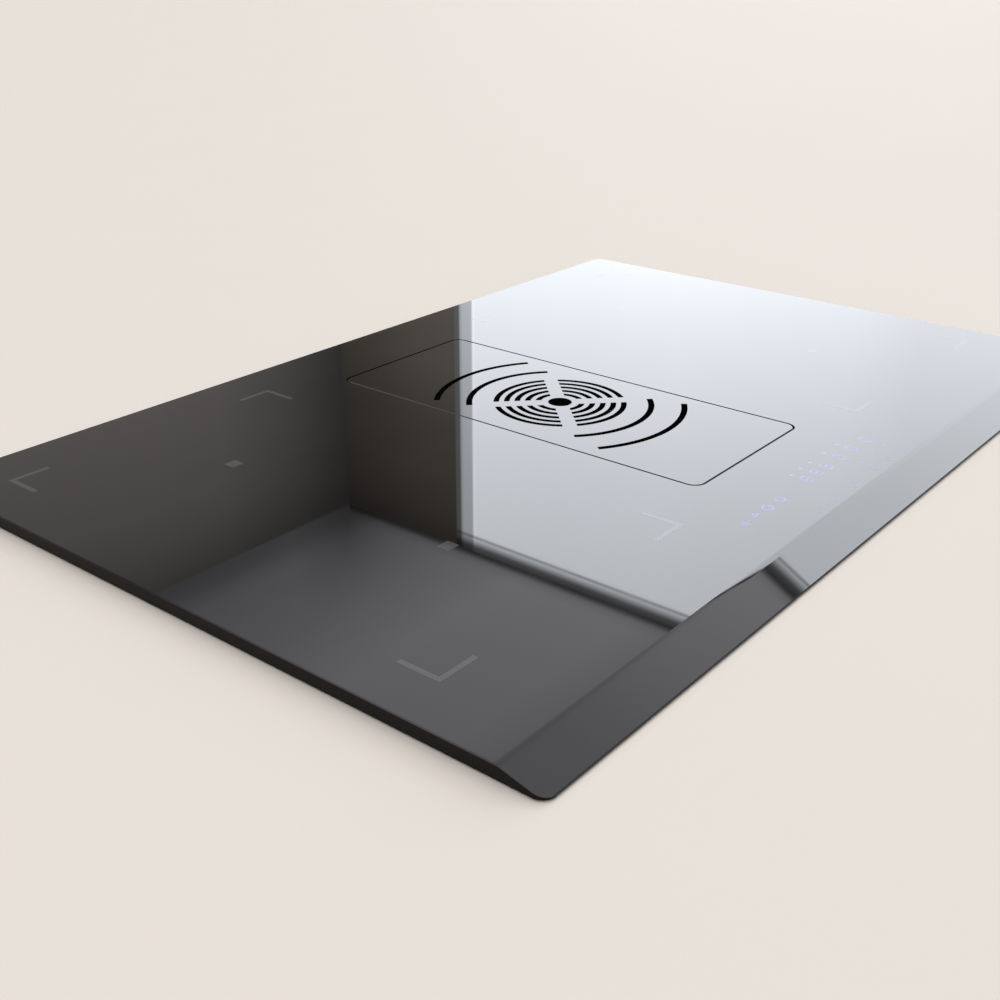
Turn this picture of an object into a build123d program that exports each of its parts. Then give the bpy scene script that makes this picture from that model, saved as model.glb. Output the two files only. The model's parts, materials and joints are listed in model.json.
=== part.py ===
from build123d import *
import math
import os

# Downdraft induction cooktop, in millimetres.
# The origin is the middle of the plate, on the worktop's surface. X runs to the user's right, Y to the
# rear and Z up. The glass stands on the worktop, and everything else hangs in the cut-out below it.

# ---------------------------------------------------------------- glass and its seal
GLASS_WIDTH = 780.0
GLASS_DEPTH = 520.0
GLASS_THICK = 8.3
GLASS_CORNER_R = 8.0
GLASS_ARRIS = 0.6            # ground bevel on the upper edges and along the foot of the facet
FACET_WIDTH = 28.0           # sloping front facet, measured in plan
FACET_LIP = 0.4              # glass left standing under the bevel at the foot of the facet
FACET_CREASE_R = 16.0        # rounding where the facet leaves the top
SEAL_THICK = 1.0
SEAL_WIDTH = 10.0
SEAL_INSET = 3.0             # from the glass's edge to the seal
GLASS_LAP = 15.0             # glass over the worktop's edge, on every side of the cut-out

# ---------------------------------------------------------------- slotted vent panel
PANEL_WIDTH = 142.5
PANEL_FRONT = 114.95         # glass in front of the panel
PANEL_REAR = 70.5            # glass behind it
PANEL_THICK = 6.0
PANEL_CORNER_R = 8.4
PANEL_GAP = 1.2              # dark seam round the panel
FINGER_HOLE_R = 9.3
RING_COUNT = 5
RING_FIRST_R = 17.2          # middle of the innermost ring slot
RING_PITCH = 8.15
RING_SLOT = 4.4
RING_BRIDGE = 11.0           # glass left standing along both diagonals
ARC_SLOT = 4.8
ARC_RADII = (71.0, 96.5)
ARC_HALF_ANGLES = (45.0, 37.0)

# ---------------------------------------------------------------- panel frame and its pads
FRAME_THICK = 2.0
FRAME_LAP = 11.5             # frame under the glass
LEDGE_WIDTH = 11.0           # frame under the panel
DRIP_LIP_HEIGHT = 1.0
DRIP_LIP_WIDTH = 1.2
PAD_R = 3.5

# ---------------------------------------------------------------- suction shaft and grease filter
SHAFT_WALL = 2.5
SHAFT_FOOT = 9.0             # foot flange on the tray's floor
SHAFT_FOOT_THICK = 2.5
SHAFT_SPOUT = 3.0            # how far the shaft reaches below the tray
FILTER_SHELF = 5.0
FILTER_SHELF_THICK = 2.5
FILTER_SEAT_DROP = 46.0      # from the frame's underside to the filter's seat
SHAFT_CORNER_R = 6.0
SHELF_CORNER_R = 3.0
FILTER_CLEAR = 1.0
FILTER_WALL = 1.5
FILTER_HEIGHT = 36.0
FILTER_RIM = 8.0             # turned-in rim that carries the mesh
FILTER_RIM_CORNER_R = 2.5
MESH_CORNER_R = 3.0
MESH_THICK = 1.6
MESH_HOLE_X = 12.0
MESH_HOLE_Y = 20.0
MESH_WEB = 3.2
MESH_CLEAR = 0.3
HANDLE_WIRE_R = 2.0
HANDLE_REACH = 25.0
HANDLE_PIVOT_HEIGHT = 16.0   # above the filter's underside
HANDLE_BEND_R = 6.0
PIVOT_CLEAR = 0.05

# ---------------------------------------------------------------- casing tray
TRAY_HEIGHT = 59.0
FLANGE_SIDE = 14.0           # tray's flange beyond its side walls
FLANGE_END = 7.0             # and beyond its front and rear walls
TRAY_CORNER_R = 12.0
SHEET = 1.2                  # pressed steel
CUTOUT_CLEAR = 3.0           # from the tray's flange to the cut-out
TRAY_HOLE_CLEAR = 1.0        # round the shaft's spout
FOAM_THICK = 1.0             # seal under the shaft's foot
VENT_SLOT = 3.6
VENT_PITCH = 8.0
VENT_LENGTH = 46.0
VENT_COUNT = 10
EXHAUST_HEIGHT = 26.0
EXHAUST_COUNT = 14

# ---------------------------------------------------------------- air box under the tray
AIR_BOX_HEIGHT = 64.0
AIR_BOX_FRONT_ROOM = 28.25   # from the box's front to the shaft's spout
AIR_BOX_REAR_CLEAR = 1.35    # from the spout to the box's rear wall
AIR_BOX_CORNER_R = 18.0
MOULDING = 2.5               # wall of the moulded housings
BOX_FLANGE = 10.0
RIB_THICK = 2.0
RIB_DEPTH = 6.0
RIB_PITCH = 52.0

# ---------------------------------------------------------------- drip container
CONTAINER_WIDTH = 196.0
CONTAINER_SETBACK = 8.0      # behind the air box's front
CONTAINER_GAP = 5.5          # between the container and the scroll's flange
CONTAINER_HEIGHT = 70.0
CONTAINER_WALL = 2.0
CONTAINER_CORNER_R = 14.0
CONTAINER_FOOT_R = 7.0
SKIRT_WALL = 2.5
SKIRT_DEPTH = 12.0
SKIRT_CLEAR = 0.3
DRIP_SEAL_THICK = 2.0
GRIP_RIB = 2.0
GRIP_INSET = 24.0            # from the container's front and rear to the ribs' ends

# ---------------------------------------------------------------- blower
BLOWER_X = 40.0
SCROLL_HEIGHT = 78.0
SCROLL_FIRST_R = 96.0
SCROLL_GROWTH = 8.0          # each quarter turn is this much larger
TONGUE_X = -36.0             # the tongue's place, from the blower's axis
CHANNEL_SPARE = 1.5          # outlet channel beyond the scroll's flange
SCROLL_FLANGE = 8.0
SCROLL_FLANGE_THICK = 3.0
FLOOR_RIB_DEPTH = 3.0
FLOOR_RIB_COUNT = 8
FLOOR_RIB_INNER_R = 54.0
INLET_R = 56.0
BELL_R = 12.0
BELL_WALL = 2.0
BELL_FLANGE = 8.0
THROAT_DEPTH = 4.0
IMPELLER_R = 85.0
BLADE_INNER_R = 66.0
BLADE_COUNT = 36
BLADE_CURVE_R = 22.0
BLADE_THICK = 1.3
IMPELLER_HEIGHT = 58.0
IMPELLER_TOP_GAP = 8.0       # under the air box's floor
SHROUD_THICK = 2.0
SHROUD_INNER_R = 61.0
HUB_R = 46.0
HUB_HEIGHT = 38.0
HUB_WALL = 2.0
HUB_DOME_R = 1.6
BOSS_R = 9.0
BOSS_HEIGHT = 6.0

# ---------------------------------------------------------------- blower motor
SHAFT_R = 4.0
SHAFT_FIT = 0.03
ROTOR_WALL = 2.5
ROTOR_CLEAR = 0.3
ROTOR_HEIGHT = 32.0
STATOR_GAP = 1.5
STATOR_HEIGHT = 20.0
STATOR_TEETH = 9
TOOTH_WIDTH = 7.0
TOOTH_TIP = 3.0
STATOR_SLOT = 3.0            # gap between two tooth tips
YOKE_R = 20.0
MOTOR_TUBE_R = 12.0
BEARING_R = 8.0
BEARING_HEIGHT = 7.0
MOUNT_R = 50.0
MOUNT_THICK = 3.0
MOUNT_ARMS = 3
MOUNT_ARM_CORNER_R = 5.0
BUSH_R = 6.0
BUSH_HEIGHT = 3.0

# ---------------------------------------------------------------- outlet and its flaps
DUCT_WIDTH = 150.0           # flat duct, outside
DUCT_HEIGHT = 70.0
DUCT_WALL = 2.0
DUCT_CORNER_R = 4.0
COLLAR_LENGTH = 20.0
FLARE_LENGTH = 33.0
OUTLET_PLATE = 2.5
OUTLET_PLATE_LAP = 9.0
WINDOW_WIDTH = 78.0
WINDOW_HEIGHT = 60.0
FLAP_THICK = 1.2
FLAP_LAP = 1.5               # flap over the window's rim
FLAP_GAP = 0.3
FLAP_PIN_R = 1.5
FLAP_PIN_SPACING = 8.0
KNUCKLE_R = 3.0

# ---------------------------------------------------------------- screws
SCREW_R = 2.0
SCREW_HEAD_R = 4.0
SCREW_HEAD_THICK = 2.4
SCREW_FIT = 0.1
SCREW_TAIL = 4.0             # thread beyond the last sheet

# ---------------------------------------------------------------- worktop clamps
CLAMP_Y = 150.0
CLAMP_PIVOT = 8.0            # from the tray's wall to the clamp screw
CLAMP_REACH = 22.0
CLAMP_WIDTH = 14.0
CLAMP_THICK = 2.0
CLAMP_TIP = 3.0
WORKTOP_THICK = 28.0
CLAMP_SCREW_R = 2.5
CLAMP_HEAD_THICK = 3.4
WELD_NUT_R = 4.5
WELD_NUT_HEIGHT = 8.0

# ---------------------------------------------------------------- induction coils
COIL_R = 88.0
COIL_REAR_CLEAR = 16.0       # from the rear former to the tray's wall
COIL_GAP_OUTER_R = 50.0      # gap between the outer and the inner winding
COIL_GAP_INNER_R = 42.0
COIL_INNER_R = 20.0
COIL_THICK = 4.5
COIL_BRIDGE_THICK = 1.5      # crossing strands between the two windings
SHEET_THICK = 0.8            # insulating sheet under the glass
SENSOR_R = 6.0
SENSOR_CLEAR = 2.0
FORMER_RIM = 5.0             # former beyond the winding
FORMER_GAP = 11.1            # between the front former and the rear one
FORMER_THICK = 5.0
FERRITE_COUNT = 8
FERRITE_LENGTH = 60.0
FERRITE_WIDTH = 12.0
FERRITE_THICK = 3.0
FERRITE_CLEAR = 0.2
CARRIER_WIDTH = 224.0
CARRIER_SIDE_CLEAR = 3.8     # from the carrier to the tray's side wall
CARRIER_THICK = 1.5
CARRIER_CORNER_R = 10.0
CARRIER_HOLE_R = 32.0
POST_R = 5.0
POST_INSET = 9.0
POST_NECK_R = 2.5
POST_NECK = 3.0

# ---------------------------------------------------------------- power electronics
BOARD_SHAFT_GAP = 29.0       # from the shaft's foot to the board
BOARD_SIDE_GAP = 14.8        # from the board to the tray's side wall
BOARD_TERMINAL_GAP = 22.0
BOARD_THICK = 1.6
STANDOFF_R = 4.0
STANDOFF_HEIGHT = 6.0
STANDOFF_INSET = 8.0
HEATSINK_WIDTH = 70.0
HEATSINK_DEPTH = 180.0
HEATSINK_HEIGHT = 30.0
HEATSINK_BASE = 5.0
HEATSINK_SETBACK = 7.0       # behind the board's front
FIN_COUNT = 9
FIN_THICK = 2.2
TRANSISTOR_WIDTH = 16.0
TRANSISTOR_THICK = 5.0
TRANSISTOR_HEIGHT = 20.0
TRANSISTOR_COUNT = 6
TRANSISTOR_PITCH = 28.0
CAPACITOR_SIZE = (20.0, 42.0, 28.0)
CAPACITOR_PITCH = 52.0
CAPACITOR_INSET = 18.0
CHOKE_R = 21.0
CHOKE_BORE_R = 9.0
CHOKE_HEIGHT = 15.0
CHOKE_COUNT = 3
CHOKE_PITCH = 50.0
CHOKE_INSET = 30.0
FAN_SIZE = 88.0
FAN_HEIGHT = 28.0
FAN_WALL = 1.8
FAN_CORNER_R = 8.0
FAN_FRONT_GAP = 17.8         # from the tray's front wall to the fan
FAN_BOARD_GAP = 3.0
FAN_INTAKE_R = 28.0
FAN_R = 36.0
FAN_BLADE_INNER_R = 27.0
FAN_BLADE_COUNT = 20
FAN_BLADE_THICK = 1.2
FAN_HUB_R = 17.0
FAN_PIN_R = 2.0
FAN_DISC = 1.6
FAN_RUN_GAP = 2.0            # above and below the rotor

# ---------------------------------------------------------------- touch control
CONTROL_WIDTH = 252.0
CONTROL_DEPTH = 58.0
CONTROL_HEIGHT = 10.0
CONTROL_SETBACK = 61.0       # from the glass's front to the middle of the control
CONTROL_WALL = 2.0
CONTROL_CORNER_R = 2.0
CONTROL_CLEAR = 0.5
DISPLAY_BLOCKS = (           # middle x, middle y from the board's middle, width, depth
    (-77.0, 5.0, 62.0, 14.0),
    (0.0, 9.0, 40.0, 30.0),
    (56.0, 0.0, 60.0, 46.0),
    (-52.0, -20.0, 66.0, 10.0),
)

# ---------------------------------------------------------------- mains connection
TERMINAL_SIDE_GAP = 27.8     # from the tray's side wall to the terminals
TERMINAL_BACK = 35.0         # from the tray's rear to the terminals' middle
TERMINAL_WIDTH = 66.0
TERMINAL_DEPTH = 26.0
TERMINAL_HEIGHT = 16.0
TERMINAL_WAYS = 5
TERMINAL_BORE_R = 3.2
COVER_WALL = 1.6
COVER_CLEAR = 0.6
GLAND_SPACING = 74.0         # from the terminals' middle to the gland
GLAND_BORE_R = 6.5
GLAND_R = 10.0
GLAND_HEX_R = 13.0
GLAND_DEPTH = 20.0
GLAND_NUT = 5.0
GLAND_FIT = 0.2

# ---------------------------------------------------------------- levels that follow
UNDERSIDE = SEAL_THICK                                   # of the glass
TOP = UNDERSIDE + GLASS_THICK
PANEL_BOTTOM = TOP - PANEL_THICK
FRAME_BOTTOM = UNDERSIDE - FRAME_THICK
FILTER_SEAT = FRAME_BOTTOM - FILTER_SEAT_DROP
HANDLE_Z = FILTER_SEAT + HANDLE_PIVOT_HEIGHT
TRAY_BOTTOM = UNDERSIDE - TRAY_HEIGHT
TRAY_FLOOR = TRAY_BOTTOM + SHEET                         # upper face of the floor
BOX_BOTTOM = TRAY_BOTTOM - AIR_BOX_HEIGHT
BOX_FLOOR = BOX_BOTTOM + MOULDING
SCROLL_BOTTOM = BOX_BOTTOM - SCROLL_HEIGHT
SCROLL_FLOOR = SCROLL_BOTTOM + MOULDING
IMPELLER_TOP = BOX_BOTTOM - IMPELLER_TOP_GAP
IMPELLER_BOTTOM = IMPELLER_TOP - IMPELLER_HEIGHT
HUB_TOP = IMPELLER_BOTTOM + HUB_HEIGHT
MOUNT_BOTTOM = SCROLL_FLOOR + BUSH_HEIGHT
ROTOR_TOP = HUB_TOP - HUB_WALL
COIL_TOP = UNDERSIDE - SHEET_THICK
FORMER_TOP = COIL_TOP - COIL_THICK
CARRIER_TOP = FORMER_TOP - FORMER_THICK
CARRIER_BOTTOM = CARRIER_TOP - CARRIER_THICK
BOARD_BOTTOM = TRAY_FLOOR + STANDOFF_HEIGHT
BOARD_TOP = BOARD_BOTTOM + BOARD_THICK
CONTROL_BOTTOM = UNDERSIDE - CONTROL_HEIGHT
DUCT_Z = SCROLL_BOTTOM + DUCT_HEIGHT / 2
CLAMP_TOP = -WORKTOP_THICK - CLAMP_TIP
CLAMP_BOTTOM = CLAMP_TOP - CLAMP_THICK

# ---------------------------------------------------------------- places and sizes that follow
PANEL_LENGTH = GLASS_DEPTH - PANEL_FRONT - PANEL_REAR
PANEL_Y = (PANEL_FRONT - PANEL_REAR) / 2                 # the panel's middle
OPENING_WIDTH = PANEL_WIDTH + 2 * PANEL_GAP              # hole in the glass
OPENING_LENGTH = PANEL_LENGTH + 2 * PANEL_GAP
OPENING_CORNER_R = PANEL_CORNER_R + PANEL_GAP
BORE_WIDTH = OPENING_WIDTH - 2 * LEDGE_WIDTH             # clear way down the shaft
BORE_LENGTH = OPENING_LENGTH - 2 * LEDGE_WIDTH
FILTER_WIDTH = BORE_WIDTH - 2 * FILTER_CLEAR
FILTER_LENGTH = BORE_LENGTH - 2 * FILTER_CLEAR
SPOUT_WIDTH = BORE_WIDTH + 2 * SHAFT_WALL
SPOUT_LENGTH = BORE_LENGTH + 2 * SHAFT_WALL
CUTOUT_WIDTH = GLASS_WIDTH - 2 * GLASS_LAP               # hole in the worktop
CUTOUT_DEPTH = GLASS_DEPTH - 2 * GLASS_LAP
FLANGE_WIDTH = CUTOUT_WIDTH - 2 * CUTOUT_CLEAR
FLANGE_DEPTH = CUTOUT_DEPTH - 2 * CUTOUT_CLEAR
TRAY_WIDTH = FLANGE_WIDTH - 2 * FLANGE_SIDE
TRAY_DEPTH = FLANGE_DEPTH - 2 * FLANGE_END
TRAY_INNER_X = TRAY_WIDTH / 2 - SHEET                    # inner face of a side wall
TRAY_INNER_Y = TRAY_DEPTH / 2 - SHEET
CLAMP_X = TRAY_WIDTH / 2 + CLAMP_PIVOT
SCROLL_OUTER = SCROLL_FIRST_R + MOULDING + SCROLL_FLANGE # reach of the scroll's flange at its start
SCROLL_LAST_R = SCROLL_FIRST_R + 2 * SCROLL_GROWTH
CHANNEL_END = SCROLL_OUTER + CHANNEL_SPARE
CHANNEL_LEFT = BLOWER_X - SCROLL_GROWTH - SCROLL_LAST_R
CHANNEL_RIGHT = BLOWER_X + TONGUE_X
CHANNEL_X = (CHANNEL_LEFT + CHANNEL_RIGHT) / 2
CHANNEL_WIDTH = CHANNEL_RIGHT - CHANNEL_LEFT
AIR_BOX_WIDTH = 2 * (BLOWER_X + SCROLL_OUTER)
AIR_BOX_FRONT = PANEL_Y - SPOUT_LENGTH / 2 - AIR_BOX_FRONT_ROOM
BOX_REAR = PANEL_Y + SPOUT_LENGTH / 2 + AIR_BOX_REAR_CLEAR + MOULDING
BOX_DEPTH = BOX_REAR - AIR_BOX_FRONT
BOX_Y = (BOX_REAR + AIR_BOX_FRONT) / 2
BLOWER_Y = BOX_REAR - CHANNEL_END
CONTAINER_FRONT = AIR_BOX_FRONT + CONTAINER_SETBACK
CONTAINER_REAR = BLOWER_Y - SCROLL_OUTER - SCROLL_GROWTH - CONTAINER_GAP
CONTAINER_DEPTH = CONTAINER_REAR - CONTAINER_FRONT
CONTAINER_Y = (CONTAINER_FRONT + CONTAINER_REAR) / 2
SKIRT_INSET = CONTAINER_WALL + SKIRT_CLEAR
SKIRT_WIDTH = CONTAINER_WIDTH - 2 * SKIRT_INSET
SKIRT_LENGTH = CONTAINER_DEPTH - 2 * SKIRT_INSET
SKIRT_CORNER_R = CONTAINER_CORNER_R - SKIRT_INSET
ROTOR_R = HUB_R - HUB_WALL - ROTOR_CLEAR
STATOR_R = ROTOR_R - ROTOR_WALL - STATOR_GAP
OUTLET_Y = BOX_REAR
COLLAR_START = OUTLET_Y + OUTLET_PLATE + FLARE_LENGTH
PIN_Y = OUTLET_Y + OUTLET_PLATE + FLAP_GAP + KNUCKLE_R
FORMER_R = COIL_R + FORMER_RIM
COIL_X = TRAY_INNER_X - CARRIER_SIDE_CLEAR - CARRIER_WIDTH / 2
COIL_REAR_Y = TRAY_INNER_Y - COIL_REAR_CLEAR - FORMER_R
COIL_FRONT_Y = COIL_REAR_Y - 2 * FORMER_R - FORMER_GAP
COIL_YS = (COIL_FRONT_Y, COIL_REAR_Y)
CARRIER_DEPTH = COIL_REAR_Y - COIL_FRONT_Y + 2 * FORMER_R
CARRIER_Y = (COIL_FRONT_Y + COIL_REAR_Y) / 2
TERMINAL_X = TRAY_INNER_X - TERMINAL_SIDE_GAP - TERMINAL_WIDTH / 2
TERMINAL_Y = TRAY_DEPTH / 2 - TERMINAL_BACK
GLAND_X = TERMINAL_X - GLAND_SPACING
BOARD_INNER = SPOUT_WIDTH / 2 + SHAFT_FOOT + BOARD_SHAFT_GAP
BOARD_OUTER = TRAY_INNER_X - BOARD_SIDE_GAP
BOARD_X = (BOARD_INNER + BOARD_OUTER) / 2
BOARD_WIDTH = BOARD_OUTER - BOARD_INNER
FAN_Y = FAN_FRONT_GAP + FAN_SIZE / 2 - TRAY_INNER_Y
BOARD_FRONT = FAN_Y + FAN_SIZE / 2 + FAN_BOARD_GAP
BOARD_REAR = TERMINAL_Y - TERMINAL_DEPTH / 2 - BOARD_TERMINAL_GAP
BOARD_Y = (BOARD_FRONT + BOARD_REAR) / 2
BOARD_DEPTH = BOARD_REAR - BOARD_FRONT
CAPACITOR_COUNT = int(BOARD_DEPTH / CAPACITOR_PITCH)
HEATSINK_Y = BOARD_FRONT + HEATSINK_SETBACK + HEATSINK_DEPTH / 2
CONTROL_Y = CONTROL_SETBACK - GLASS_DEPTH / 2
SIDES = {"left": -1, "right": 1}
ENDS = {"front": -1, "rear": 1}


# ---------------------------------------------------------------- small helpers
def block(width, depth, height, x=0.0, y=0.0, z=0.0, corner=0.0):
    """Upright block centred on x, y that stands on level z, with rounded upright edges."""
    outline = RectangleRounded(width, depth, corner) if corner > 0 else Rectangle(width, depth)
    return extrude(Pos(x, y, z) * outline, amount=height)


def disc(radius, height, x=0.0, y=0.0, z=0.0):
    """Upright cylinder that stands on level z."""
    return extrude(Pos(x, y, z) * Circle(radius), amount=height)


def collar(outer_r, inner_r, height, x=0.0, y=0.0, z=0.0):
    """Upright ring that stands on level z."""
    return extrude(Pos(x, y, z) * (Circle(outer_r) - Circle(inner_r)), amount=height)


def steps(count, pitch):
    """Places of a row of things, evenly spaced about zero."""
    return [(index - (count - 1) / 2) * pitch for index in range(count)]


def corners(half_x, half_y, x=0.0, y=0.0):
    """The four corners of a rectangle."""
    return [(x + sx * half_x, y + sy * half_y) for sx in (-1, 1) for sy in (-1, 1)]


def group(solids):
    """Several separate solids that share one node."""
    return Compound(children=[solid for shape in solids for solid in shape.solids()])


def screw(x, y, z, grip, radius=SCREW_R, head_r=SCREW_HEAD_R, head=SCREW_HEAD_THICK):
    """Pan-head screw driven upwards: its head hangs under level z, and grip is its length above it."""
    top = disc(head_r, head, x, y, z - head)
    top = fillet(top.edges().group_by(Axis.Z)[0], head / 2)
    return top + disc(radius, grip, x, y, z)


# ---------------------------------------------------------------- glass, seal and panel
def glass_top():
    plate = block(GLASS_WIDTH, GLASS_DEPTH, GLASS_THICK, z=UNDERSIDE, corner=GLASS_CORNER_R)
    plate = chamfer(plate.edges().group_by(Axis.Z)[-1], GLASS_ARRIS)
    front = -GLASS_DEPTH / 2
    foot = UNDERSIDE + FACET_LIP
    spare = GLASS_THICK
    crease = front + FACET_WIDTH
    wedge = Polygon(
        (front - spare, foot),
        (front, foot),
        (front + GLASS_ARRIS, foot + GLASS_ARRIS),
        (crease, TOP),
        (crease + FACET_WIDTH, TOP),
        (crease + FACET_WIDTH, TOP + spare),
        (front - spare, TOP + spare),
        align=None,
    )
    wedge = fillet(wedge.vertices().sort_by_distance((crease, TOP))[0], FACET_CREASE_R)
    plate -= extrude(Plane.YZ * wedge, amount=GLASS_WIDTH, both=True)
    plate -= block(OPENING_WIDTH, OPENING_LENGTH, GLASS_THICK, 0, PANEL_Y, UNDERSIDE, OPENING_CORNER_R)
    return plate


def glass_seal():
    width = GLASS_WIDTH - 2 * SEAL_INSET
    depth = GLASS_DEPTH - 2 * SEAL_INSET
    strip = block(width, depth, SEAL_THICK, corner=GLASS_CORNER_R)
    return strip - block(width - 2 * SEAL_WIDTH, depth - 2 * SEAL_WIDTH, SEAL_THICK)


def ring_slots():
    """Concentric ring slots, cut into quarters by two crossed bridges."""
    slots = Sketch()
    for index in range(RING_COUNT):
        middle = RING_FIRST_R + index * RING_PITCH
        slots += Circle(middle + RING_SLOT / 2) - Circle(middle - RING_SLOT / 2)
    reach = 2 * (RING_FIRST_R + RING_COUNT * RING_PITCH)
    for angle in (45, 135):
        slots -= Rot(0, 0, angle) * Rectangle(reach, RING_BRIDGE)
    return slots


def arc_slots():
    """Long arc slots in front of the rings and behind them."""
    slots = Sketch()
    for radius, half_angle in zip(ARC_RADII, ARC_HALF_ANGLES):
        band = Circle(radius + ARC_SLOT / 2) - Circle(radius - ARC_SLOT / 2)
        reach_x = 2 * radius * math.sin(math.radians(half_angle))
        reach_y = 2 * radius * math.cos(math.radians(half_angle))
        for side in (-1, 1):
            wedge = Polygon((0, 0), (reach_x, side * reach_y), (-reach_x, side * reach_y), align=None)
            slots += band & wedge
    return slots


def vent_panel():
    panel = block(PANEL_WIDTH, PANEL_LENGTH, PANEL_THICK, 0, PANEL_Y, PANEL_BOTTOM, PANEL_CORNER_R)
    panel = chamfer(panel.edges().group_by(Axis.Z)[-1], GLASS_ARRIS)
    slots = ring_slots() + arc_slots() + Circle(FINGER_HOLE_R)
    return panel - extrude(Pos(0, PANEL_Y, PANEL_BOTTOM) * slots, amount=PANEL_THICK)


def panel_frame():
    """Flat frame under the glass, whose inner ledge carries the panel."""
    frame = block(
        OPENING_WIDTH + 2 * FRAME_LAP, OPENING_LENGTH + 2 * FRAME_LAP, FRAME_THICK,
        0, PANEL_Y, FRAME_BOTTOM, OPENING_CORNER_R + FRAME_LAP,
    )
    lip = block(
        BORE_WIDTH + 2 * DRIP_LIP_WIDTH, BORE_LENGTH + 2 * DRIP_LIP_WIDTH, DRIP_LIP_HEIGHT,
        0, PANEL_Y, UNDERSIDE, SHAFT_CORNER_R + DRIP_LIP_WIDTH,
    )
    height = FRAME_THICK + DRIP_LIP_HEIGHT
    return frame + lip - block(BORE_WIDTH, BORE_LENGTH, height, 0, PANEL_Y, FRAME_BOTTOM, SHAFT_CORNER_R)


def panel_pads():
    """Soft pads between the ledge and the panel."""
    middle = (PANEL_GAP + LEDGE_WIDTH - DRIP_LIP_WIDTH) / 2
    half_x = OPENING_WIDTH / 2 - middle
    half_y = OPENING_LENGTH / 2 - OPENING_CORNER_R - PAD_R
    places = corners(half_x, half_y, 0, PANEL_Y) + [(-half_x, PANEL_Y), (half_x, PANEL_Y)]
    return group(disc(PAD_R, PANEL_BOTTOM - UNDERSIDE, x, y, UNDERSIDE) for x, y in places)


# ---------------------------------------------------------------- shaft and filter
def suction_shaft():
    """Moulded shaft between the coils, with an inner shelf for the filter and a foot flange."""
    bottom = TRAY_BOTTOM - SHAFT_SPOUT
    height = FRAME_BOTTOM - bottom
    shaft = block(SPOUT_WIDTH, SPOUT_LENGTH, height, 0, PANEL_Y, bottom, SHAFT_CORNER_R + SHAFT_WALL)
    foot_width = SPOUT_WIDTH + 2 * SHAFT_FOOT
    foot_length = SPOUT_LENGTH + 2 * SHAFT_FOOT
    foot_r = SHAFT_CORNER_R + SHAFT_WALL + SHAFT_FOOT
    foot_z = TRAY_FLOOR + FOAM_THICK
    shaft += block(foot_width, foot_length, SHAFT_FOOT_THICK, 0, PANEL_Y, foot_z, foot_r)
    shaft -= block(
        BORE_WIDTH, BORE_LENGTH, FILTER_SEAT_DROP, 0, PANEL_Y, FILTER_SEAT, SHAFT_CORNER_R
    )
    shelf_bottom = FILTER_SEAT - FILTER_SHELF_THICK
    shaft -= block(
        BORE_WIDTH, BORE_LENGTH, shelf_bottom - bottom, 0, PANEL_Y, bottom, SHAFT_CORNER_R
    )
    return shaft - block(
        BORE_WIDTH - 2 * FILTER_SHELF, BORE_LENGTH - 2 * FILTER_SHELF, height,
        0, PANEL_Y, bottom, SHELF_CORNER_R,
    )


def shaft_seal():
    """Foam strip between the shaft's foot and the tray's floor."""
    radius = SHAFT_CORNER_R + SHAFT_WALL
    outer = block(
        SPOUT_WIDTH + 2 * SHAFT_FOOT, SPOUT_LENGTH + 2 * SHAFT_FOOT, FOAM_THICK,
        0, PANEL_Y, TRAY_FLOOR, radius + SHAFT_FOOT,
    )
    gap = TRAY_HOLE_CLEAR
    return outer - block(
        SPOUT_WIDTH + 2 * gap, SPOUT_LENGTH + 2 * gap, FOAM_THICK, 0, PANEL_Y, TRAY_FLOOR, radius + gap
    )


def filter_basin():
    """Lift-out basin: a folded rim all round, with its bottom edge turned in to carry the mesh."""
    corner = SHAFT_CORNER_R - FILTER_CLEAR
    basin = block(FILTER_WIDTH, FILTER_LENGTH, FILTER_HEIGHT, 0, PANEL_Y, FILTER_SEAT, corner)
    basin -= block(
        FILTER_WIDTH - 2 * FILTER_WALL, FILTER_LENGTH - 2 * FILTER_WALL, FILTER_HEIGHT,
        0, PANEL_Y, FILTER_SEAT + FILTER_WALL, corner - FILTER_WALL,
    )
    inset = FILTER_WALL + FILTER_RIM
    basin -= block(
        FILTER_WIDTH - 2 * inset, FILTER_LENGTH - 2 * inset, FILTER_WALL,
        0, PANEL_Y, FILTER_SEAT, FILTER_RIM_CORNER_R,
    )
    pivot = Plane.YZ * (Pos(PANEL_Y, HANDLE_Z) * Circle(HANDLE_WIRE_R + PIVOT_CLEAR))
    return basin - extrude(pivot, amount=FILTER_WIDTH, both=True)


def filter_mesh():
    """Expanded metal sheet on the basin's rim, with staggered openings."""
    inset = FILTER_WALL + MESH_CLEAR
    width = FILTER_WIDTH - 2 * inset
    length = FILTER_LENGTH - 2 * inset
    z = FILTER_SEAT + FILTER_WALL
    sheet = block(width, length, MESH_THICK, 0, PANEL_Y, z, MESH_CORNER_R)
    clear_width = FILTER_WIDTH - 2 * (FILTER_WALL + FILTER_RIM)
    clear_length = FILTER_LENGTH - 2 * (FILTER_WALL + FILTER_RIM)
    pitch_x = MESH_HOLE_X + MESH_WEB
    pitch_y = MESH_HOLE_Y + MESH_WEB
    rows = int((clear_length + MESH_WEB) / pitch_y)
    across = int((clear_width + MESH_WEB) / pitch_x)
    holes = Sketch()
    for row, y in enumerate(steps(rows, pitch_y)):
        count = across - row % 2
        for x in steps(count, pitch_x):
            holes += Pos(x, y) * Rectangle(MESH_HOLE_X, MESH_HOLE_Y)
    return sheet - extrude(Pos(0, PANEL_Y, z) * holes, amount=MESH_THICK)


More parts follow.
